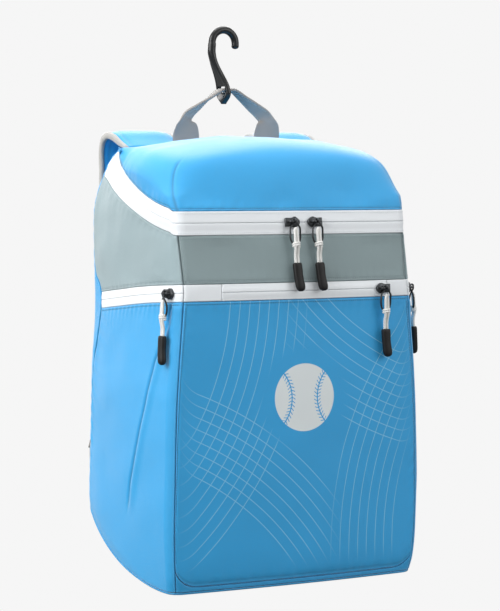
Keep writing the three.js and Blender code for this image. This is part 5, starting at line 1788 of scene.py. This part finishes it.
def strap_pieces(name, side):
    centre, tangents, wide, thick, width_share, thick_share = strap_lines(side)
    half_wide = width_share * STRAP_WIDTH / 2 - BINDING - SEAM
    half_thick = thick_share * STRAP_THICKNESS / 2
    sx, sy = section(48, 0.45, 0.8)
    run = run_along(centre)
    rings = np.zeros((len(centre), 48, 3))
    shade = np.zeros((len(centre), 48))
    for i in range(len(centre)):
        soft = 1 + 0.035 * math.sin(run[i] / 13) + 0.03 * math.sin(run[i] / 31 + 1)
        dip = 1 - 0.16 * bump(sx, -0.8, 0.06) - 0.16 * bump(sx, 0.8, 0.06)
        rings[i] = (
            centre[i]
            + (sx * half_wide[i])[:, None] * wide[i]
            + (sy * half_thick[i] * soft * dip * 0.98)[:, None] * thick[i]
        )
        shade[i] = 0.3 * (bump(sx, -0.8, 0.04) + bump(sx, 0.8, 0.04))
    marks, node = {"shade": shade.ravel()}, f"strap_pad_{name}"
    piece = tube_piece(f"strap_cloth_{name}", rings, blue_cloth, "blue_cloth", node, marks=marks)

    # The binding wraps the pad's edge: down one side, round the foot and up the other
    rim = BINDING / 2 + SEAM
    foot, down = centre[-1], tangents[-1]
    points = [centre[i] + wide[i] * (half_wide[i] + rim * 0.55) for i in range(len(centre))]
    across = np.linspace(1, -1, 30)
    corner = [
        foot
        + wide[-1] * (half_wide[-1] + rim * 0.55) * np.sign(a) * abs(a) ** 0.35
        + down * rim * 0.8 * (1 - abs(a) ** 6)
        for a in across[1:-1]
    ]
    points += corner
    points += [centre[i] - wide[i] * (half_wide[i] + rim * 0.55) for i in range(len(centre))][::-1]
    normals = list(thick) + [thick[-1]] * len(corner) + list(thick[::-1])
    halves = list(half_thick) + [half_thick[-1]] * len(corner) + list(half_thick[::-1])
    points, normals, halves = np.array(points), np.array(normals), np.array(halves)
    step = tangents_of(points)
    out = unit(np.cross(normals, step))
    bx, by = section(16, 0.7, 0.7)
    rings = (
        points[:, None, :]
        + bx[None, :, None] * out[:, None, :] * BINDING * 0.95
        + by[None, :, None] * normals[:, None, :] * (halves[:, None, None] * 0.62 + 0.5)
    )
    tube_piece(f"strap_edge_{name}", rings, pale_binding, "grey_webbing", f"strap_binding_{name}")

    # The lower webbing, over the buckle's bars
    foot_run = BINDING + SEAM + REST + 0.15 + BUCKLE_LENGTH / 2
    middle = foot + down * foot_run
    outwards = unit(np.cross(wide[-1], -down))
    lift = BUCKLE_THICKNESS / 2 + WEBBING / 2 + REST + 0.1
    over_bars = (-BUCKLE_LENGTH / 2 + BUCKLE_BAR, BUCKLE_LENGTH / 2 + 2 * BUCKLE_BAR)
    rows = [middle + down * run_at + outwards * lift for run_at in over_bars]
    lower = strap_points(LOWER_WEBBING, side)
    sewn_end = lower[-1] + unit(lower[-1] - lower[-2]) * TAB_OVERLAP
    path = curve_through(rows + list(lower) + [sewn_end], 50)
    flat_piece(f"strap_tail_{name}", path, f"strap_webbing_{name}")

    # The tab that it is sewn to, a folded triangle in the seam between side and back
    end = lower[-1]
    rings = []
    tab_low, tab_top = end[2] - ANCHOR_HEIGHT, end[2] - WEBBING
    for t in np.linspace(0, 1, 24):
        z = mix(tab_low, tab_top, t)
        level = max(z, HEEL_HEIGHT * 0.75)
        root = outline(side * (float(seam_station(np.array(level))) * 0.5 + 0.5), level)
        root = vec(root[0], root[1] + REST + 1, z)
        reach = ANCHOR_REACH * math.sin(math.pi * mix(0.12, 0.62, t))
        tip = vec(mix(root[0], end[0], 0.5), root[1] + reach, z)
        out = tip - root
        length = np.linalg.norm(out)
        out = out / length
        thin = unit(vec(-out[1], out[0], 0))
        a, b = section(24, 0.3, 0.6)
        rings.append((root + tip) / 2 + a[:, None] * out * length / 2 + b[:, None] * thin * WEBBING)
    tube_piece(f"strap_gusset_{name}", np.array(rings), grey_webbing, "grey_webbing", f"strap_tab_{name}")


def flat_piece(name, path, node):
    """Lower webbing along a path, flat towards the wearer."""
    across, half_wide, half_thick = vec(1, 0, 0), WEBBING_WIDTH / 2, WEBBING / 2
    tangents = tangents_of(path)
    wide = unit(across - tangents * (tangents @ across)[:, None])
    thick = np.cross(tangents, wide)
    a, b = section(24, 0.25, 0.7)
    rings = (
        path[:, None, :]
        + a[None, :, None] * wide[:, None, :] * half_wide
        + b[None, :, None] * thick[:, None, :] * half_thick
    )
    tube_piece(name, rings, grey_webbing, "grey_webbing", node)


for side_name, side_sign in (("left", -1), ("right", 1)):
    strap_pieces(side_name, side_sign)
    buckle = bpy.data.objects[f"strap_buckle_{side_name}"]
    buckle.data.materials.clear()
    buckle.data.materials.append(plastic)

blue_stitching.build("blue_stitching", thread_blue, "blue_cloth")
grey_stitching.build("grey_stitching", thread_grey, "grey_cloth")
white_stitching.build("white_stitching", thread_white, "white_tape")


# Camera, floor and light
def add_light(name, place, target, size, power, colour=(1, 1, 1)):
    data = bpy.data.lights.new(name, "AREA")
    data.shape = "RECTANGLE"
    data.size, data.size_y = size
    data.energy = power
    data.color = colour
    light = bpy.data.objects.new(name, data)
    bpy.context.scene.collection.objects.link(light)
    light.location = place
    light.rotation_euler = (Vector(target) - Vector(place)).to_track_quat("-Z", "Y").to_euler()


MIDDLE = (0.0, -0.06, -0.38)
add_light("key", (-2.9, -0.35, 1.0), MIDDLE, (2.2, 2.2), 92)
add_light("front_fill", (2.2, -2.8, 0.9), MIDDLE, (2.0, 2.0), 34)
add_light("top", (0.1, 0.5, 2.6), MIDDLE, (3.0, 3.0), 76)
add_light("back", (0.6, 4.5, 1.6), MIDDLE, (6.0, 3.0), 250)

# The world lights the bag from above more than from below, and the camera sees it plain and pale
PALE = (0.921, 0.921, 0.921, 1)
world = bpy.data.worlds.new("studio")
bpy.context.scene.world = world
world.use_nodes = True
world.node_tree.nodes.clear()
sky = Nodes(world.node_tree)
shown = sky.node("ShaderNodeBackground", {"Color": PALE})
split = sky.node("ShaderNodeSeparateXYZ", {0: sky.node("ShaderNodeTexCoord").outputs["Generated"]})
rise_range = {"From Min": -1.0, "From Max": 0.6, "To Min": 0.1, "To Max": 0.62}
strength = sky.node("ShaderNodeMapRange", {"Value": split.outputs[2], **rise_range})
shed = sky.node("ShaderNodeBackground", {"Color": (1, 1, 1, 1), "Strength": strength.outputs[0]})
seen = sky.node("ShaderNodeLightPath").outputs["Is Camera Ray"]
chosen = sky.node("ShaderNodeMixShader", {0: seen, 1: shed.outputs[0], 2: shown.outputs[0]})
sky.node("ShaderNodeOutputWorld", {0: chosen.outputs[0]})

floor_mesh = bpy.data.meshes.new("floor")
FLOOR_DROP = -1.6
FLOOR_HALF = 40.0
floor_signs = ((-1, -1), (1, -1), (1, 1), (-1, 1))
floor_corners = [(x * FLOOR_HALF, y * FLOOR_HALF, FLOOR_DROP) for x, y in floor_signs]
floor_mesh.from_pydata(floor_corners, [], [(0, 1, 2, 3)])
floor = bpy.data.objects.new("floor", floor_mesh)
bpy.context.scene.collection.objects.link(floor)
floor_shader = bpy.data.materials.new("pale_floor")
floor_shader.use_nodes = True
glow = floor_shader.node_tree.nodes["Principled BSDF"]
glow.inputs["Base Color"].default_value = (0, 0, 0, 1)
glow.inputs["Specular IOR Level"].default_value = 0
glow.inputs["Emission Color"].default_value = PALE
glow.inputs["Emission Strength"].default_value = 1.0
floor_mesh.materials.append(floor_shader)
floor.visible_diffuse = False
floor.visible_glossy = False
floor.visible_shadow = False

camera_data = bpy.data.cameras.new("camera")
camera_data.sensor_fit = "VERTICAL"
camera_data.sensor_height = 36
camera_data.lens = 124.9
camera_data.clip_end = 200
camera = bpy.data.objects.new("camera", camera_data)
bpy.context.scene.collection.objects.link(camera)
camera.location = (-1.204, -2.334, -0.178)
camera.rotation_euler = Vector((0.4686, 0.8814, -0.0598)).to_track_quat("-Z", "Y").to_euler()
bpy.context.scene.camera = camera

scene = bpy.context.scene
scene.view_settings.view_transform = "Standard"
scene.view_settings.look = "None"
